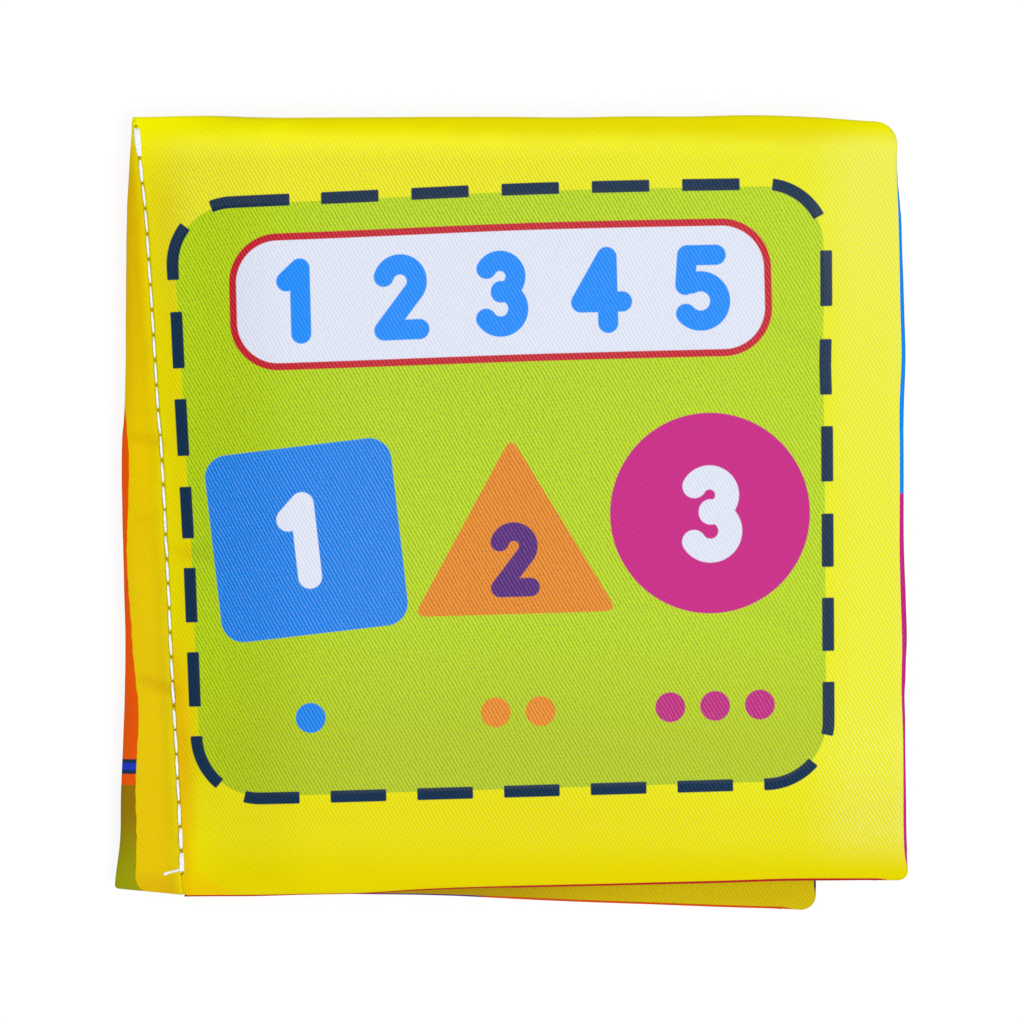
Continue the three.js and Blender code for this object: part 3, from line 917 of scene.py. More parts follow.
# How much painted sheen: a share, or the least share and its growth
ROW_WHITE, RIB_WHITE, HEAD_WHITE = (0.15, 0.85), 0.012, 0.055
FOOT_WHITE, FOOT_WHITE_RISE = (0.02, 0.03), (-40, 40)
SIDE_WHITE = (0.1, -0.05)
HEAD_EVEN_SHEEN, SIDE_EVEN_SHEEN, RIM_EVEN_SHEEN = 0.009, (0.018, 0.02), 0.02
LIME_WHITE, LIME_EVEN_SHEEN = (0.03, 0.022), (0.003, 0.013)


def cover_sheen(paint, x, y, lime, shapes):
    """Painted sheen: white on the ribs and white that lies evenly, most on the lime, the head and the right
    side.
    """
    right, _ = paint.uv("row")
    head = y.ramp(*WHITE_HEAD)
    foot = y.ramp(*WHITE_FOOT) * grown(x.ramp(*FOOT_WHITE_RISE), *FOOT_WHITE)
    side = x.ramp(*WHITE_SIDE)
    by_row = grown(right.ramp(*WHITE_FROM_ROW), *ROW_WHITE)
    within_rim = (1 - y.ramp(*WHITE_TOP_RIM)) * y.ramp(*WHITE_LOW_RIM) * by_row
    ribs = (head * HEAD_WHITE + foot + side * grown(head, *SIDE_WHITE) + RIB_WHITE) * within_rim
    side_even_sheen = side * grown(y.ramp(*EVEN_SHEEN_RISE), *SIDE_EVEN_SHEEN)
    even_sheen = (head * HEAD_EVEN_SHEEN + side_even_sheen + x.ramp(*EVEN_SHEEN_RIM) * RIM_EVEN_SHEEN) * within_rim
    inward = x.ramp(*LIME_LEFT)
    ribs = mixed(ribs, grown(inward, *LIME_WHITE), lime)
    even_sheen = mixed(even_sheen, grown(inward, *LIME_EVEN_SHEEN), lime)
    ribs = ribs * (1 - shapes["calm"] * CALM_SHARE)
    return ribs.most(shapes["bright"] * BRIGHT_SHEEN), even_sheen


# Depth of the painted shade in the twill's grooves, in the zones of the cover
DEPTH_TOP, DEPTH_LOW, DEPTH_FROM_ROW = (46.5, 50.5), (-52, -40), (-1, 6)
DEPTH_LEFT, DEPTH_RISE = (42, -10), (-44, -30)
LIME_RIGHT, LIME_LOW = (0, 40), (-10, -35)
# How deep: a share, the least share and its growth, or what the lime loses at its right and low down
YELLOW_DEPTH, END_DEPTH, ROW_DEPTH = (0.1, 0.14), (0.3, 0.7), (0.3, 0.7)
LIME_DEPTH, RIGHT_LOSS, LOW_LOSS = 0.39, 0.05, 0.06
PLATE_DEPTH = 0.15


def cover_depth(paint, x, y, lime, plate, shapes):
    """How dark the painted shade in the twill's grooves is: most on the lime and at the left, least by the
    row.
    """
    right, _ = paint.uv("row")
    ends = (1 - y.ramp(*DEPTH_TOP)) * y.ramp(*DEPTH_LOW)
    yellow = grown(x.ramp(*DEPTH_LEFT) * y.ramp(*DEPTH_RISE), *YELLOW_DEPTH) * grown(ends, *END_DEPTH)
    depth = yellow * grown(right.ramp(*DEPTH_FROM_ROW), *ROW_DEPTH)
    lime_depth = LIME_DEPTH - x.ramp(*LIME_RIGHT) * RIGHT_LOSS - y.ramp(*LIME_LOW) * LOW_LOSS
    return mixed(mixed(depth, lime_depth, lime), PLATE_DEPTH, plate.most(shapes["calm"]))


# Painted shade on the lime: where it sets in towards the tail, and the spot at its left middle
TAIL_SHADE_LIME_ZONE = (-12, -34)
LIME_SHADE_SPOT, LIME_SHADE_ZONE, LIME_SHADE_SHARE = (0, 30), (-12, -36), 0.28
BORDER_CALM_SHARE = 0.7


def cover_print():
    paint = Paint("cover_print_twill", YELLOW)
    x, y = paint.uv("print")
    across, rise, half_x, half_y = panel_place(x, y)
    ring = box(across, rise, half_x, half_y, DASH_RADIUS)
    cover_ground(paint, x, y)
    # Painted shade in the yellow's creases
    lay_crease_shade(paint, CREASE_SHADE_GOLD)
    paint.lay(LIME, ring + DASH_OUTSET)
    lime = inside_of(ring + DASH_OUTSET)
    # Painted shade on the lime towards the tail
    paint.blend(TAIL_SHADE_LIME, y.ramp(*TAIL_SHADE_LIME_ZONE) * lime)
    # Painted shade at the lime's left middle
    paint.blend(SHADE_LIME, peak(y, *LIME_SHADE_SPOT) * x.ramp(*LIME_SHADE_ZONE) * lime * LIME_SHADE_SHARE)
    # Painted shade in the lime's creases
    lay_crease_shade(paint, SHADE_LIME, lime)
    plate = lay_plate(paint, across, rise)
    shapes = lay_shapes(paint, across, rise)
    border = dashes(across, rise, half_x, half_y, ring)
    paint.lay(NAVY, border)
    lay_row_shade(paint)
    # Painted sheen on the ribs and evenly, less on the navy dashes
    ribs, even_sheen = cover_sheen(paint, x, y, lime, shapes)
    ribs = ribs * (1 - inside_of(border) * BORDER_CALM_SHARE)
    return finish_cloth(paint, cover_depth(paint, x, y, lime, plate, shapes), ribs, even_sheen)


# Painted shade of the sewn row: dark ticks at the holes, and the thread's painted shadow along it
STITCH_PITCH = 3.3
TICK_HALF, TICK_SHARE, TICK_SOFTNESS = (0.18, 0.1), 0.55, 0.5
THREAD_SHADE, THREAD_SHADE_SHARE = (0.38, 0.2), 0.4


def lay_row_shade(paint):
    """Painted shade: small dark ticks in the holes where the stitches go down, and a faint painted shadow
    along the thread.
    """
    right, count = paint.uv("row")
    away = abs(count - count.math("ROUND")) * STITCH_PITCH
    tick = length(away / TICK_HALF[1], right / TICK_HALF[0]) - 1
    along = count.over(0) * (1 - count.over(STITCHES))
    # Painted shade in the needle holes
    paint.blend(ROW_SHADE_BROWN, (1 - tick.ramp(-TICK_SOFTNESS, TICK_SOFTNESS)) * TICK_SHARE)
    # Painted shadow of the thread along the row
    paint.blend(ROW_SHADE_BROWN, abs(right).ramp(*THREAD_SHADE) * along * THREAD_SHADE_SHARE)


# Plate: rise of its middle over the panel's, half sizes, corner and red rim. Digits: height and stroke radius
PLATE_RISE, PLATE_HALF, PLATE_CORNER, PLATE_RIM = 26.4, (35.4, 8.2), 5.6, 0.95
PLATE_DIGIT, PLATE_DIGIT_SPACING = (11.4, 1.35), 13.4


def lay_plate(paint, across, rise):
    """White plate with a red line round it and the digits from 1 to 5. Gives back where it lies."""
    x, y = across, rise - PLATE_RISE
    plate = box(x, y, *PLATE_HALF, PLATE_CORNER)
    paint.lay(RED, plate - PLATE_RIM)
    paint.lay(WHITE, plate)
    for value in DIGIT_SHARES:
        spot = PLATE_DIGIT_SPACING * (value - (len(DIGIT_SHARES) + 1) / 2)
        paint.lay(BLUE, digit(x - spot, y, value, *PLATE_DIGIT))
    return inside_of(plate)


# Square, triangle and disc: middles in the panel, sizes, and the digits on them
SHAPE_PLACES = ((-26.9, -5.6), (0.9, -8.4), (27.3, -3.6))
SQUARE_TURN, SQUARE_HALF, SQUARE_CORNER = 5, 12.6, 3
TRIANGLE_SIZE, TRIANGLE_CORNER = 7.9, 2.4
DISC_RADIUS = 13.4
SHAPE_DIGIT, TRIANGLE_DIGIT, TRIANGLE_DIGIT_DROP = (13, 1.6), (10, 1.25), 0.6
DOT_SPACING, DOT_RISE, DOT_RADIUS = 6, -29.4, 2
TRIANGLE_BRIGHTNESS = 0.5


def lay_shapes(paint, across, rise):
    """Square, triangle and disc, each with its number and as many dots below it.
    Gives back where the twill's ribs carry a bright painted sheen on them, and where they hardly show."""
    square_at, top_at, disc_at = ((across - x, rise - y) for x, y in SHAPE_PLACES)
    square_at = turned(*square_at, SQUARE_TURN)
    square = box(*square_at, SQUARE_HALF, SQUARE_HALF, SQUARE_CORNER)
    paint.lay(BLUE, square)
    white = digit(*square_at, 1, *SHAPE_DIGIT)
    paint.lay(WHITE, white)
    peaked = triangle(*top_at, TRIANGLE_SIZE, TRIANGLE_CORNER)
    paint.lay(ORANGE, peaked)
    paint.lay(PURPLE, digit(top_at[0], top_at[1] + TRIANGLE_DIGIT_DROP, 2, *TRIANGLE_DIGIT))
    circle = disc(*disc_at, DISC_RADIUS)
    paint.lay(MAGENTA, circle)
    paint.lay(WHITE, digit(*disc_at, 3, *SHAPE_DIGIT))
    for (spot, _), count, colour in zip(SHAPE_PLACES, (1, 2, 3), (BLUE, ORANGE, MAGENTA)):
        for number in range(count):
            shift = DOT_SPACING * (number - (count - 1) / 2)
            paint.lay(colour, disc(across - spot - shift, rise - DOT_RISE, DOT_RADIUS))
    bright = inside_of(square) + inside_of(peaked) * TRIANGLE_BRIGHTNESS
    return {"bright": bright, "calm": inside_of(circle.least(white))}


# Pages: corners of panels, squares and triangles, half width of rings, and a digit's stroke radius as a share
PANEL_CORNER, PAGE_SQUARE_CORNER, PAGE_TRIANGLE_CORNER = 6, 2.5, 2
RING_HALF_WIDTH = 1.2
DIGIT_STROKE_SHARE = 1 / 11
SHADE_DROP = -1.5
PAGE_SHAPES = {
    "half": lambda x, y, size: y * size,
    "panel": lambda x, y, size: box(x, y, size, size, PANEL_CORNER),
    "ring": lambda x, y, size: abs(disc(x, y, size)) - RING_HALF_WIDTH,
    "disc": disc,
    "square": lambda x, y, size: box(x, y, size, size, PAGE_SQUARE_CORNER),
    "triangle": lambda x, y, size: triangle(x, y, size, PAGE_TRIANGLE_CORNER),
}


def inside_print(name, ground, flip, parts, *finish):
    """A page: its ground colour, then (kind, colour, place, size) for each shape."""
    paint = Paint(name, ground)
    x, y = paint.uv("print", flip)
    for kind, colour, place, size in parts:
        dx, dy = x - place[0], y - place[1]
        # A shade is painted shadow, darker towards the left and down
        if kind == "shade":
            paint.blend(colour, dx.ramp(size, 0) * dy.ramp(0, SHADE_DROP))
        elif kind in PAGE_SHAPES:
            paint.lay(colour, PAGE_SHAPES[kind](dx, dy, size))
        else:
            paint.lay(colour, digit(dx, dy, int(kind), size, size * DIGIT_STROKE_SHARE))
    return finish_cloth(paint, *finish)


# Golden painted shade of the spine fold, from the print's edge and the row leftwards, and along the fold
SPINE_HEAD, SPINE_GOLD, SPINE_DARK = (51.8, 48), (-0.5, 2.5), (0, 2)
SPINE_UPPER, SPINE_FOOT, SPINE_DARK_SHARE = (6, 40), (-47, -50.5), 0.6
SPINE_SWAY, EDGE_SWAY = (0.16, 1.2), (0.7, 0.3)
SPINE_DEPTH_ACROSS, SPINE_DEPTH_ALONG, SPINE_SHEEN_ALONG = (5, 0.5), (10, -10), (10, -20)
# Least share and its growth
SPINE_GOLD_SHARE, SPINE_DEPTH, SPINE_SHEEN = (0.55, 0.35), (0.05, 0.08), (0.001, 0.01)


def spine_print():
    """Yellow as the cover with golden painted shade and bounce light by the row, then the back cover's
    colours beyond the print's edge.
    """
    paint = Paint("spine_print_twill", YELLOW)
    x, y = paint.uv("print")
    past, left = paint.uv("border")
    broad = left + sway_of(paint, x, y, *SPINE_SWAY)
    below_head = y.ramp(*SPINE_HEAD)
    # Golden painted shade and bounce light, growing leftwards from the row
    paint.blend(SHADE_GOLD, below_head * grown(broad.ramp(*SPINE_GOLD), *SPINE_GOLD_SHARE))
    # Darker painted shade towards the head and at the foot
    dark = (y.ramp(*SPINE_UPPER) + y.ramp(*SPINE_FOOT)) * SPINE_DARK_SHARE
    paint.blend(DARK_SHADE_GOLD, below_head * dark * broad.ramp(*SPINE_DARK))
    # Painted shade in the fold's creases
    lay_crease_shade(paint, CREASE_SHADE_GOLD)
    lay_back(paint, y, past * -1 + sway_of(paint, x, y, *EDGE_SWAY))
    lay_row_shade(paint)
    # Painted shade in the twill's grooves and painted sheen on its ribs
    depth = grown(left.ramp(*SPINE_DEPTH_ACROSS) * y.ramp(*SPINE_DEPTH_ALONG), *SPINE_DEPTH)
    return finish_cloth(paint, depth, grown(y.ramp(*SPINE_SHEEN_ALONG), *SPINE_SHEEN))


# Bands of the back cover: middle and half widths of the blue one and its navy rim, and the green below it
BAND_RISE, BAND_HALF, BAND_RIM_HALF = -34.1, 0.47, 1
OLIVE_RISE, GREEN_ZONE = -36.6, (-38, -50)


def lay_back(paint, y, edge):
    """Bands of the back cover's print, inside an edge."""
    from_band = abs(y - BAND_RISE)
    paint.lay(DEEP_ORANGE, edge)
    paint.lay(NAVY, edge.most(from_band - BAND_RIM_HALF))
    paint.lay(BAND_BLUE, edge.most(from_band - BAND_HALF))
    paint.lay(OLIVE, edge.most(y - OLIVE_RISE))
    paint.blend(GREEN, y.ramp(*GREEN_ZONE) * inside_of(edge))


# Back cover: where the bands begin beside the spine, the purple at its tail, and the navy fore edge
SPINE_BAND_END, FORE_BAND_START = -36, 39.2
PURPLE_START, PURPLE_END, PURPLE_DROP = (-31, -28), (-3, -5), (-50, -51)
# Its panel and the three shapes in it
BACK_PANEL = ((2, 4), (34, 28), 7)
BACK_RIM = 1.2
BACK_SHAPE_SPACING, BACK_SHAPE_RISE = 16, 2
BACK_SQUARE, BACK_TRIANGLE, BACK_DISC = (8.5, 8.5, 2), (5.4, 1.6), 9


def back_print():
    paint = Paint("back_print_twill", DEEP_ORANGE)
    x, y = paint.uv("print")
    lay_back(paint, y, x - SPINE_BAND_END)
    paint.blend(PURPLE, x.ramp(*PURPLE_START) * x.ramp(*PURPLE_END) * y.ramp(*PURPLE_DROP))
    paint.lay(NAVY, FORE_BAND_START - x)
    (middle_x, middle_y), (half_x, half_y), corner = BACK_PANEL
    dx, dy = (x - middle_x) * -1, y - middle_y
    paint.lay(NAVY, box(dx, dy, half_x, half_y, corner))
    paint.lay(YELLOW, box(dx, dy, half_x - BACK_RIM, half_y - BACK_RIM, corner - 1))
    up = dy - BACK_SHAPE_RISE
    paint.lay(BLUE, box(dx + BACK_SHAPE_SPACING, up, *BACK_SQUARE))
    paint.lay(ORANGE, triangle(dx, up, *BACK_TRIANGLE))
    paint.lay(MAGENTA, disc(dx - BACK_SHAPE_SPACING, up, BACK_DISC))
    return finish_cloth(paint)


FUZZ_ROUGHNESS = 0.2


def fibre_material(name, colour, shade, ramp, share, scale, detail, roughness, bump, sheen=0):
    """Thread, batting or film: fine fibres or crumples in colour, roughness and bump."""
    paint = Paint(name, colour)
    fuzz = paint.solid_noise(scale, detail)
    paint.blend(shade, fuzz.ramp(*ramp) * share)
    paint.shader.inputs["Sheen Weight"].default_value = sheen
    return paint.finish(grown(fuzz, roughness, FUZZ_ROUGHNESS), fuzz, bump)


# Colour, shade, where the shade sets in, its share, noise scale and detail, roughness, bump height, sheen
THREAD = ((234, 237, 242), (190, 196, 210), (0.45, 0.8), 0.5, 3000, 2, 0.45, 0.03, 0.1)
BATTING = ((244, 242, 234), (190, 190, 184), (0.4, 0.7), 0.3, 900, 6, 0.75, 0.2)
FILM = ((217, 221, 226), (190, 190, 184), (0.4, 0.7), 0.3, 400, 6, 0.15, 0.2)


# Camera, over the middle of the picture. Its pixels are measured in the plane of the cover's rim
PIXEL = 0.1341
PICTURE = 1024
CAMERA_MIDDLE = (0.094, 0.165)
CAMERA_PLANE = 12
LENS = 400
CLIP_START, CLIP_END = 0.1, 20
# Lamps: place, size and power. Strength of the world's light, and the floor's glow to the camera
KEY_LAMP = ((0.35, -0.2, 1.25), 0.6, 8.2)
FILL_LAMP = ((-0.5, 0.5, 1.3), 0.9, 2.8)
WORLD_LIGHT = 0.6
FLOOR_HALF, FLOOR_DROP = 4, 0.05
FLOOR_GREY, FLOOR_ROUGHNESS = 0.93, 0.9
FLOOR_GLOW, GLOW_SHARE = 1.05, 0.8


def add_camera():
    camera = bpy.data.cameras.new("camera")
    camera.lens = LENS
    camera.clip_start, camera.clip_end = CLIP_START, CLIP_END
    holder = add_object("camera", camera)
    distance = PIXEL * PICTURE * LENS / camera.sensor_width
    holder.location = Vector((*CAMERA_MIDDLE, CAMERA_PLANE + distance)) * MM
    bpy.context.scene.camera = holder


def add_lamp(name, place, size, power):
    lamp = bpy.data.lights.new(name, "AREA")
    lamp.shape = "DISK"
    lamp.size = size
    lamp.energy = power
    holder = add_object(name, lamp)
    holder.location = place
    holder.rotation_euler = (-Vector(place)).to_track_quat("-Z", "Y").to_euler()


def seen_share(tree):
    """1 for rays from the camera, a gloss or a clear thing, as a signal."""
    path = tree.nodes.new("ShaderNodeLightPath")
    names = ("Is Camera Ray", "Is Glossy Ray", "Is Transmission Ray")
    camera, glossy, clear = (Signal(tree, path.outputs[name]) for name in names)
    return (camera + glossy + clear).least(1)


def set_world():
    world = bpy.data.worlds.new("studio")
    world.use_nodes = True
    bpy.context.scene.world = world
    tree = world.node_tree
    back = tree.nodes["Background"]
    back.inputs["Color"].default_value = (1, 1, 1, 1)
    level = seen_share(tree) * (1 - WORLD_LIGHT) + WORLD_LIGHT
    tree.links.new(level.socket, back.inputs["Strength"])


def floor_material():
    material = bpy.data.materials.new("pale_floor")
    material.use_nodes = True
    tree = material.node_tree
    shader = tree.nodes["Principled BSDF"]
    shader.inputs["Base Color"].default_value = (FLOOR_GREY, FLOOR_GREY, FLOOR_GREY, 1)
    shader.inputs["Roughness"].default_value = FLOOR_ROUGHNESS
    glow = tree.nodes.new("ShaderNodeEmission")
    glow.inputs["Strength"].default_value = FLOOR_GLOW
    mix = tree.nodes.new("ShaderNodeMixShader")
    share = seen_share(tree) * GLOW_SHARE
    for number, socket in enumerate((share.socket, shader.outputs[0], glow.outputs[0])):
        tree.links.new(socket, mix.inputs[number])
    tree.links.new(mix.outputs[0], tree.nodes["Material Output"].inputs["Surface"])
    return material


def add_floor():
    """Pale plain floor, bright to the camera, that still takes the object's shadow."""
    mesh = bpy.data.meshes.new("floor")
    signs = ((-1, -1), (1, -1), (1, 1), (-1, 1))
    corners = [(east * FLOOR_HALF, north * FLOOR_HALF, 0) for east, north in signs]
    mesh.from_pydata(corners, [], [(0, 1, 2, 3)])
    mesh.materials.append(floor_material())
    floor = add_object("floor", mesh)
    floor.location.z = -FLOOR_DROP * MM


# Fold of the outer sheet: wrinkles (height, length, angle's share, seed), and how they fade round the nose
FOLD_WAVE = (0.22, 9, 1.4, 302)
FOLD_PUCKER_SEED, FOLD_PULL_SHARE, FOLD_SIDE_SHARE = 301, 0.9, 0.5
FOLD_UPPER, FOLD_WAVE_START = (-0.4, 0.5), (0, 2)
LEAST_BULGE, LEAST_HALF = 0.05, 0.02
# Steps round the fold lie closer at the row and the underside
ANGLE_CROWDING_SHARE = 0.08 / 1.2
FULL_FOLD_WIDTH = 2.2


def fold_depths(left):
    top = FOLD_TOP_SLOPE * left + FOLD_DROP * smooth(left, 0, FOLD_DROP_REACH)
    under = SEWN_STACK + FOLD_UNDER_SLOPE * left
    return top, under


def fold_points(way, angle, inset, short=0):
    """Surface of the fold: way from head to tail, angle from the row (0) round to the underside (pi).
    short is how far it stops before the fold's ends."""
    width = along_list(FOLD_WIDTHS, way)
    bulge = np.maximum(width - inset, LEAST_BULGE)
    left = bulge * np.sin(angle) ** FOLD_ROUND
    top, under = fold_depths(left)
    cosine = np.cos(angle)
    half = np.maximum((under - top) / 2 - inset, LEAST_HALF)
    lift = np.sign(cosine) * half * np.abs(cosine) ** FOLD_ROUND
    from_head = -HEIGHT * HEAD_SHARES[0] - FOLD_HEAD_STRAY
    row_end = HEIGHT * TAIL_SHARES[0] / math.cos(LEAN) + FOLD_TAIL_STRAY
    to_tail = row_end - FOLD_SETBACK * left / width
    along = mixed(from_head + short, to_tail - short, way)
    z = ROW_Z - (under + top) / 2 + lift
    bump = pull_heights(-left, along) * FOLD_PULL_SHARE + row_pucker(-left, along, FOLD_PUCKER_SEED)
    height, pitch, share, seed = FOLD_WAVE
    bump = bump + height * ripples(along / pitch, angle * share, seed) * smooth(left, *FOLD_WAVE_START)
    z = z + bump * smooth(cosine, *FOLD_UPPER)
    left = left - FOLD_SIDE_SHARE * bump * np.sin(angle) ** 2
    x, y = beside_row(-left, along)
    x = x + row_shift(left, along)
    return np.stack([x, y, z], -1), left, along


def arc_lengths(points, axis):
    steps = np.linalg.norm(np.diff(points, axis=axis), axis=-1)
    total = np.cumsum(steps, axis)
    start = np.zeros_like(np.take(total, [0], axis))
    return np.concatenate([start, total], axis)


def end_stations(count, length):
    near = np.array(FINE_EDGE)
    inner = np.linspace(near[-1], length - near[-1], count - 2 * len(near) + 2)[1:-1]
    return np.concatenate([near, inner, length - near[::-1]])


def fold_grid(inset, end_inset, rows=FOLD_ROWS, angles=FOLD_ANGLES, close=None, short=0):
    """Points of the fold, inset below its surface, that close towards its ends within end_inset."""
    place = end_stations(rows, HEIGHT)
    way = (place / HEIGHT)[:, None]
    turn = np.linspace(0, 1, angles)[None]
    start = INNER_START if inset > 0 else 0
    angle = mixed(start, math.pi - start, turn - ANGLE_CROWDING_SHARE * np.sin(2 * math.pi * turn))
    from_end = np.minimum(place, HEIGHT - place)[:, None]
    limit = np.minimum(1, along_list(FOLD_WIDTHS, way) / FULL_FOLD_WIDTH)
    rest = 1 - round_share(from_end / np.maximum(end_inset, 0.01))
    depth = (inset + rest * (end_inset if close is None else close)) * limit
    return fold_points(way, angle, depth, short)


def print_border(points, left):
    """Arc length past the print's edge, at each point of the fold."""
    arc = arc_lengths(points, 1)
    rows = points.shape[0]
    border = np.zeros((rows, points.shape[1]))
    width = left.max(1)
    nose = left.argmax(1)
    for row in range(rows):
        edge = along_list(PRINT_EDGE, row / (rows - 1))
        at_nose = arc[row, nose[row]]
        if edge > 0:
            to_nose = slice(0, nose[row] + 1)
            start = np.interp(width[row] - edge, left[row, to_nose], arc[row, to_nose])
        else:
            start = at_nose - edge
        border[row] = arc[row] - start
    return border


# Threads
ROPE_SIDES, PLIES, PLY_SHARE = 14, 3, 0.2
STITCH_POINTS, STITCH_TWIST = 22, 1.9
STITCH_LIFT, STITCH_SINK = 0.16, 0.28
STITCH_END_SHARE, STITCH_FULLNESS, STITCH_FLAT_SHARE = 0.35, 0.55, 0.8


def rope(points, radii, twist, flat=1):
    """Twisted thread round a path: one ring of points for each point of the path."""
    points = np.asarray(points)
    ahead = np.gradient(points, axis=0)
    ahead /= np.linalg.norm(ahead, axis=1, keepdims=True)
    side = np.cross(ahead, (0, 0, 1))
    side /= np.linalg.norm(side, axis=1, keepdims=True)
    up = np.cross(side, ahead)
    angle = np.linspace(0, 2 * math.pi, ROPE_SIDES, endpoint=False)
    steps = arc_lengths(points, 0)
    lobes = np.abs(np.cos(PLIES * (angle[None] - twist * steps[:, None]) / 2))
    radius = np.asarray(radii)[:, None] * (1 - PLY_SHARE + PLY_SHARE * lobes)
    sideways = side[:, None] * np.cos(angle)[None, :, None]
    upwards = up[:, None] * (np.sin(angle)[None, :, None] * flat)
    return points[:, None] + (sideways + upwards) * radius[..., None]


def rope_mesh(name, ropes):
    every_point, every_face = [], []
    start = 0
    for ring in ropes:
        count, sides = ring.shape[:2]
        index = start + np.arange(count * sides).reshape(count, sides)
        after = np.roll(index, -1, axis=1)
        quads = np.stack([index[:-1], after[:-1], after[1:], index[1:]], -1).reshape(-1, 4)
        every_face += quads.tolist()
        every_face += [index[0][::-1].tolist(), index[-1].tolist()]
        every_point.append(ring.reshape(-1, 3))
        start += count * sides
    mesh = bpy.data.meshes.new(name)
    mesh.from_pydata((np.concatenate(every_point) * MM).tolist(), [], every_face)
    mesh.shade_smooth()
    return add_object(name, mesh)


def stitch(start, end, radius, shift=0, lift=STITCH_LIFT, sink=STITCH_SINK, drop=0, slant=0):
    """One stitch of the row, from hole to hole."""
    way = np.linspace(0, 1, STITCH_POINTS)
    along = mixed(start, end, way)
    right = shift + slant * (way - 0.5)
    arch = np.sin(math.pi * way) ** STITCH_FULLNESS
    x, y = beside_row(right, along)
    x = x + row_shift(right, along)
    z = ROW_Z - drop - sink + (sink + lift) * arch
    radii = radius * mixed(STITCH_END_SHARE, 1, arch)
    return rope(np.stack([x, y, z], -1), radii, STITCH_TWIST, STITCH_FLAT_SHARE)


# Stitches at both ends of the row that are wider than the rest: number, shift, radius, slant
END_STITCHES = (
    (0, -0.07, 0.3, 0.06),
    (0, 0.21, 0.3, -0.14),
    (1, 0.02, 0.26, -0.05),
    (STITCHES - 3, 0, 0.25, -0.05),
    (STITCHES - 2, 0.06, 0.29, -0.05),
    (STITCHES - 1, -0.08, 0.2, -0.05),
    (STITCHES - 1, 0.18, 0.22, -0.05),
)
END_STITCH_START, END_STITCH_STOP, END_STITCH_LIFT = 0.2, 0.05, 0.2
THIN_STITCH, WIDE_STITCH = 0.165, 0.205
# A stitch's gap at its holes, radius and slant: the least or mean, and how far it varies. Its random shift
GAP, GAP_RANGE, RADIUS_RANGE = 0.06, 0.04, 0.02
SLANT, SLANT_RANGE, SHIFT_RANGE = 0.07, 0.04, 0.02
STITCH_SEED = 5
BOBBIN_GAP, BOBBIN_RADIUS, BOBBIN_SINK = 0.1, 0.2, 0.1


def needle_row():
    """The white row on the cover. Its ends are sewn over twice."""
    holes = hole_places()
    random = np.random.default_rng(STITCH_SEED)
    made = []
    wide = {number for number, *_ in END_STITCHES}
    for number in range(STITCHES):
        if number in wide:
            continue
        gap = GAP + GAP_RANGE * random.random()
        radius = mixed(THIN_STITCH, WIDE_STITCH, number / STITCHES) + RADIUS_RANGE * random.random()
        slant = SLANT + SLANT_RANGE * random.normal()
        shift = SHIFT_RANGE * random.normal()
        made.append(stitch(holes[number] + gap, holes[number + 1] - gap, radius, shift, slant=slant))
    for number, shift, radius, slant in END_STITCHES:
        start, end = holes[number] + END_STITCH_START, holes[number + 1] - END_STITCH_STOP
        made.append(stitch(start, end, radius, shift, END_STITCH_LIFT, slant=slant))
    return rope_mesh("needle_thread_row_stitches", made)


def bobbin_row():
    """Its partner, in the valley between leaf 2 and leaf 3."""
    holes = hole_places()
    drop = len(LEAVES) / 2 * SEWN_PITCH - PAGE_GAP / 2
    made = []
    for start, end in zip(holes, holes[1:]):
        made.append(stitch(start + BOBBIN_GAP, end - BOBBIN_GAP, BOBBIN_RADIUS, 0, 0, BOBBIN_SINK, drop))
    return rope_mesh("bobbin_thread_row_stitches", made)


# Loose end: where it starts and ends left of the row, how far before the row's end and how far it slopes,
# its rise over the cloth, its radius at the row, how much thicker it ends, and its waves
LOOSE_START, LOOSE_END = 0.32, 2.7
LOOSE_PLACE, LOOSE_SLOPE, LOOSE_RISE = 0.75, 0.7, 0.16
LOOSE_RADIUS, LOOSE_SWELL, LOOSE_TWIST, LOOSE_POINTS = 0.16, 0.07, 2.6, 24
LOOSE_WAVE, LOOSE_WAVE_TURN = 0.05, 6


def loose_end():
    way = np.linspace(0, 1, LOOSE_POINTS)
    wave = LOOSE_WAVE * np.sin(LOOSE_WAVE_TURN * way)
    left = mixed(LOOSE_START, LOOSE_END, way)
    x, y = beside_row(-left, ROW_LENGTH - LOOSE_PLACE + LOOSE_SLOPE * way + wave)
    z = ROW_Z - fold_depths(left)[0] + LOOSE_RISE + wave
    radii = LOOSE_RADIUS + LOOSE_SWELL * way
    return rope_mesh("thread_tail_end", [rope(np.stack([x, y, z], -1), radii, LOOSE_TWIST)])


# Pieces
BODY = {"front_cover": "front_leaf", "leaf_2": "leaf_2", "leaf_3": "leaf_3", "back_cover": "back_leaf"}
SLOTS = {
    ("front_cover", 1): "cover_print",
    ("front_cover", -1): "page_2_print",
    ("leaf_2", 1): "page_3_print",
    ("leaf_2", -1): "page_4_print",
    ("leaf_3", 1): "page_5_print",
    ("leaf_3", -1): "page_6_print",
    ("back_cover", 1): "page_7_print",
    ("back_cover", -1): "back_print",
}


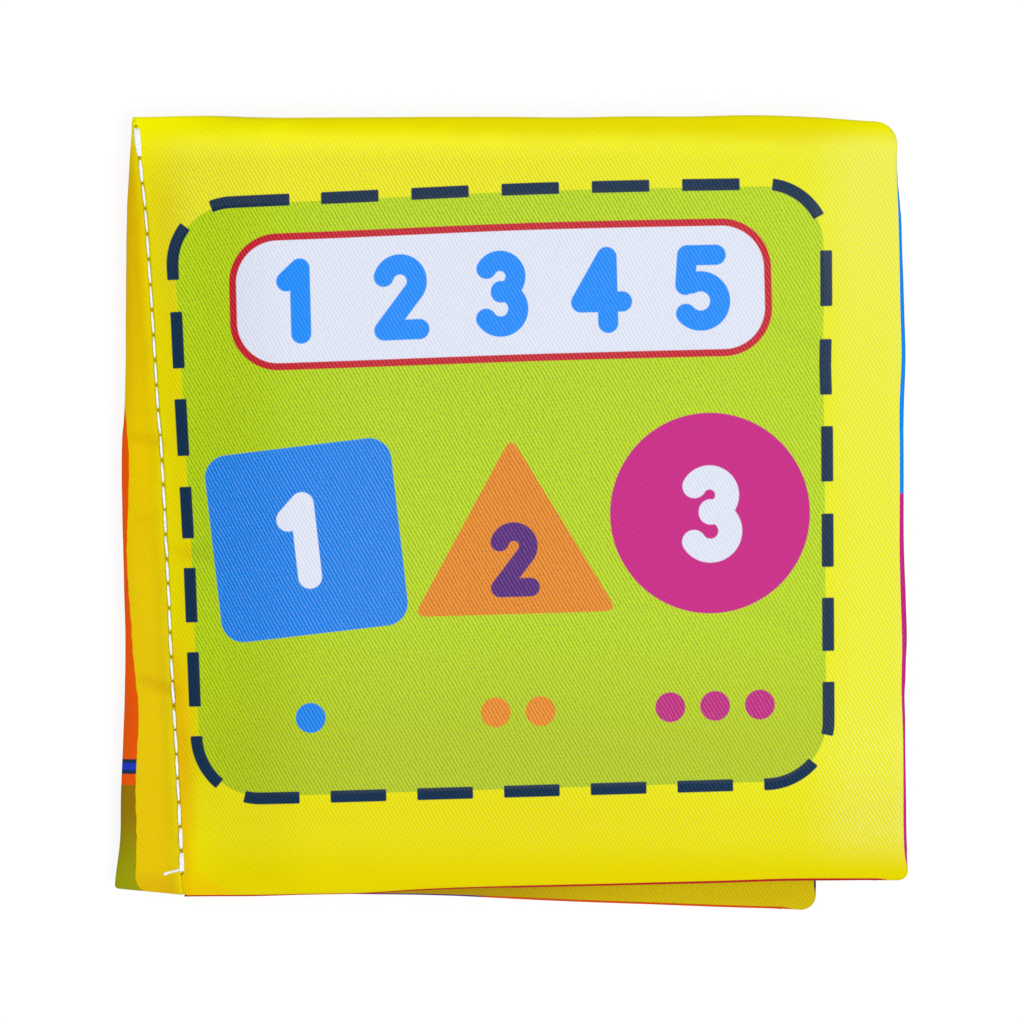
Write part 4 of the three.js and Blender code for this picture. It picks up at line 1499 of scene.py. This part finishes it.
PAGE_2 = (
    ("half", MAGENTA, (0, 2.7), 1),
    ("half", DARK_RED, (0, -48.7), 1),
    ("panel", WHITE, (0, 2), 30),
    ("square", YELLOW, (0, 14), 11),
    ("1", BLUE, (0, 14), 15),
    ("disc", ORANGE, (0, -14), 10),
)
PAGE_3 = (
    ("panel", LIME, (3, 0), 38),
    ("disc", BLUE, (-12, 8), 14),
    ("disc", ORANGE, (18, 8), 14),
    ("2", WHITE, (3, -20), 18),
)
PAGE_4 = (
    ("panel", WHITE, (-2, 0), 38),
    ("triangle", MAGENTA, (-14, 8), 8),
    ("triangle", BLUE, (14, 8), 8),
    ("3", NAVY, (0, -20), 18),
)
PAGE_5 = (
    ("panel", BLUE, (2, 0), 38),
    ("square", YELLOW, (-12, 10), 10),
    ("square", ORANGE, (16, 10), 10),
    ("4", WHITE, (2, -18), 18),
)
PAGE_6 = (
    ("panel", ORANGE, (-2, 0), 38),
    ("ring", WHITE, (0, 8), 17),
    ("disc", BLUE, (0, 8), 8),
    ("5", WHITE, (0, -24), 16),
)
# Page 7 shows below the cover: its ground and the ochre at its left are painted shadow of the cover
PAGE_7 = (
    ("shade", SHADOW_OCHRE, (-12, -48.5), 34),
    ("panel", LIME, (0, 0), 36),
    ("ring", MAGENTA, (0, 6), 20),
    ("square", BLUE, (0, 6), 8),
)
PAGE_7_DEPTH = 0.12
# Ground, 1 or -1 for a face that looks up or down, shapes, and the depth of the painted shade in the twill's
# grooves
PAGES = {
    "page_2_print": (BLUE, -1, PAGE_2),
    "page_3_print": (YELLOW, 1, PAGE_3),
    "page_4_print": (YELLOW, -1, PAGE_4),
    "page_5_print": (YELLOW, 1, PAGE_5),
    "page_6_print": (YELLOW, -1, PAGE_6),
    "page_7_print": (SHADOWED_PEEK_YELLOW, 1, PAGE_7, PAGE_7_DEPTH),
}


def page_materials():
    made = {name: inside_print(name + "_twill", *settings) for name, settings in PAGES.items()}
    made["cover_print"] = cover_print()
    made["back_print"] = back_print()
    return made


COVER_STEP, LEAF_STEP = 0.55, 0.9
# Layers inside a leaf: how far below its faces, in from its edges and from the row, and their grids' steps
PAD_TOP, PAD_LOW, PAD_THINNEST, PAD_STEP = CLOTH + 0.6, CLOTH + 0.25, 0.05, 2.2
PAD_FROM_EDGE, PAD_FROM_ROW = 1.2, 9
FILM_TOP, FILM_SHEET, FILM_STEP, FILM_FROM_EDGE = CLOTH + 0.3, 0.1, 1.6, 2.7
CRUMPLE, CRUMPLE_SIZE, CRUMPLE_SEED = 0.06, (2.3, 2.7), 70


def leaf_cloth(leaf, side, material, step):
    """One printed face of a leaf."""
    outer = (leaf.index == 0 and side > 0) or (leaf.index == len(LEAVES) - 1 and side < 0)
    points, row = face_grid(leaf, side, 0 if outer else ROW_GAP, step)
    uvs = {"cloth": flat_lengths(points), "print": points[..., :2], **row_maps(row)}
    layer = "upper" if side > 0 else "lower"
    name = f"{leaf.name}_{layer}_cloth"
    piece = add_sheet(name + "_face", points, CLOTH, side < 0, uvs)
    return dress(piece, material, BODY[leaf.name], name)


def leaf_filling(leaf, batting, film):
    """Batting and crinkle film inside a leaf."""
    top, _ = face_grid(leaf, 1, ROW_GAP, PAD_STEP, PAD_TOP, PAD_FROM_EDGE, PAD_FROM_ROW)
    low, _ = face_grid(leaf, -1, ROW_GAP, PAD_STEP, PAD_LOW, PAD_FROM_EDGE, PAD_FROM_ROW)
    low[..., 2] = np.minimum(low[..., 2], top[..., 2] - PAD_THINNEST)
    body = BODY[leaf.name]
    pad = closed_mesh(f"{leaf.name}_batting_pad", top, low)
    dress(pad, batting, body, f"{leaf.name}_batting")
    points, _ = face_grid(leaf, 1, ROW_GAP, FILM_STEP, FILM_TOP, FILM_FROM_EDGE, PAD_FROM_ROW)
    across, along = points[..., 0] / CRUMPLE_SIZE[0], points[..., 1] / CRUMPLE_SIZE[1]
    points[..., 2] += CRUMPLE * ripples(across, along, CRUMPLE_SEED + leaf.index)
    sheet = add_sheet(f"{leaf.name}_crinkle_sheet", points, FILM_SHEET)
    dress(sheet, film, body, f"{leaf.name}_crinkle_film")
    return pad


# Strip in a valley: right of the row, lift off the leaf beside it, and share of the way down
GUTTER_SECTION = (
    (1.3, 0.3, 0),
    (0.8, 0.25, 0),
    (0.4, 0.08, 0),
    (0.12, 0, 0.12),
    (0, 0, 0.5),
    (0.12, 0, 0.88),
    (0.4, -0.08, 1),
    (0.8, -0.25, 1),
    (1.3, -0.3, 1),
)
GUTTER_START, GUTTER_PAST, GUTTER_ROWS, GUTTER_SHEET = 0.6, 1, 90, 0.08


def gutter(upper, lower, material):
    """Strip of cloth in the valley between two leaves."""
    top_z, low_z = upper.sewn_top - SEWN, lower.sewn_top
    place = np.linspace(GUTTER_START, ROW_LENGTH + GUTTER_PAST, GUTTER_ROWS)
    right, lift, way = (np.array(column)[None] for column in zip(*GUTTER_SECTION))
    along = np.repeat(place[:, None], len(GUTTER_SECTION), 1)
    x, y = beside_row(right, along)
    points = np.stack([x, y, 0 * x + mixed(top_z, low_z, way) + lift], -1)
    flat = np.stack([arc_lengths(points, 1), -along], -1)
    uvs = {"cloth": flat, "print": points[..., :2], "row": flat}
    piece = add_sheet(f"gutter_{upper.name}_{lower.name}", points, GUTTER_SHEET, True, uvs)
    start, end = ((HEAD[0] * MM, HEAD[1] * MM, z * MM) for z in (top_z, low_z))
    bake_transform(piece)
    return dress(piece, material)


# Layers inside the fold: depth, how they close at the ends, rows, angles, and how far they stop short
LINING = (FOLD_SHEET, FOLD_SHEET / 2, 120, 40, -FOLD_SHEET / 2, 0.5)
INNER_FOLD = (FOLD_SHEET + 0.12, 1.2, 120, 40, 1.2, 1)
FOLD_PAD = (FOLD_SHEET + 0.5, 1, 60, 24, 1, 1.4)
FOLD_PAD_SHEET = 0.2


def fold_layer(name, settings, thickness, flip, material, node=None):
    points = fold_grid(*settings)[0]
    uvs = {"cloth": np.stack([-arc_lengths(points, 1), points[..., 1]], -1), "print": points[..., :2]}
    return dress(add_sheet(name, points, thickness, flip, uvs), material, "back_leaf", node)


def add_fold(material, lining, batting):
    """The outer sheet round the fold, its lining, and the inner sheet's own fold inside it."""
    points, left, along = fold_grid(0, FOLD_SHEET / 2)
    flat = np.stack([points[:, :1, 0] - arc_lengths(points, 1), points[..., 1]], -1)
    border = np.stack([print_border(points, left), left], -1)
    row = np.stack([-left, along, -pull_heights(-left, along)], -1)
    uvs = {"cloth": flat, "print": points[..., :2], "border": border, **row_maps(row)}
    cloth = add_sheet("spine_fold_face", points, CLOTH, False, uvs)
    dress(cloth, material, "back_leaf", "spine_fold_cloth")
    fold_layer("spine_fold_lining", LINING, CLOTH, True, lining)
    fold_layer("inner_fold_face", INNER_FOLD, CLOTH, False, lining)
    name, node = "spine_fold_pad", "spine_fold_batting"
    pad = fold_layer(name, FOLD_PAD, FOLD_PAD_SHEET, False, batting, node)


def add_threads(material):
    pieces = {
        "needle_thread_row": needle_row(),
        "bobbin_thread_row": bobbin_row(),
        "thread_tail": loose_end(),
    }
    for node, piece in pieces.items():
        dress(piece, material, "back_leaf", node)
    for name in LEAVES:
        node = frame["nodes"][f"{name}_seam_thread"]
        node.data.materials.clear()
        node.data.materials.append(material)


def build():
    add_camera()
    set_world()
    add_lamp("key", *KEY_LAMP)
    add_lamp("fill", *FILL_LAMP)
    add_floor()
    materials = page_materials()
    batting = fibre_material("white_batting", *BATTING)
    film = fibre_material("clear_film", *FILM)
    leaves = [Leaf(name) for name in LEAVES]
    cloths = {}
    for leaf in leaves:
        pad = leaf_filling(leaf, batting, film)
        for side in (1, -1):
            step = COVER_STEP if leaf.index == 0 and side > 0 else LEAF_STEP
            piece = leaf_cloth(leaf, side, materials[SLOTS[leaf.name, side]], step)
            cloths[leaf.name, side] = (piece, pad)
    strips = {}
    for upper, lower in zip(leaves, leaves[1:]):
        strips[lower.name] = gutter(upper, lower, materials[SLOTS[lower.name, 1]])
    for (name, side), (piece, pad) in cloths.items():
        strip = [strips[name]] if side > 0 and name in strips else []
        width = REACH * REACH_SHARES[LEAVES.index(name)] * MM
    add_fold(spine_print(), materials["page_3_print"], batting)
    add_threads(fibre_material("white_thread", *THREAD))


build()
scene = bpy.context.scene
scene.view_settings.view_transform = "Standard"
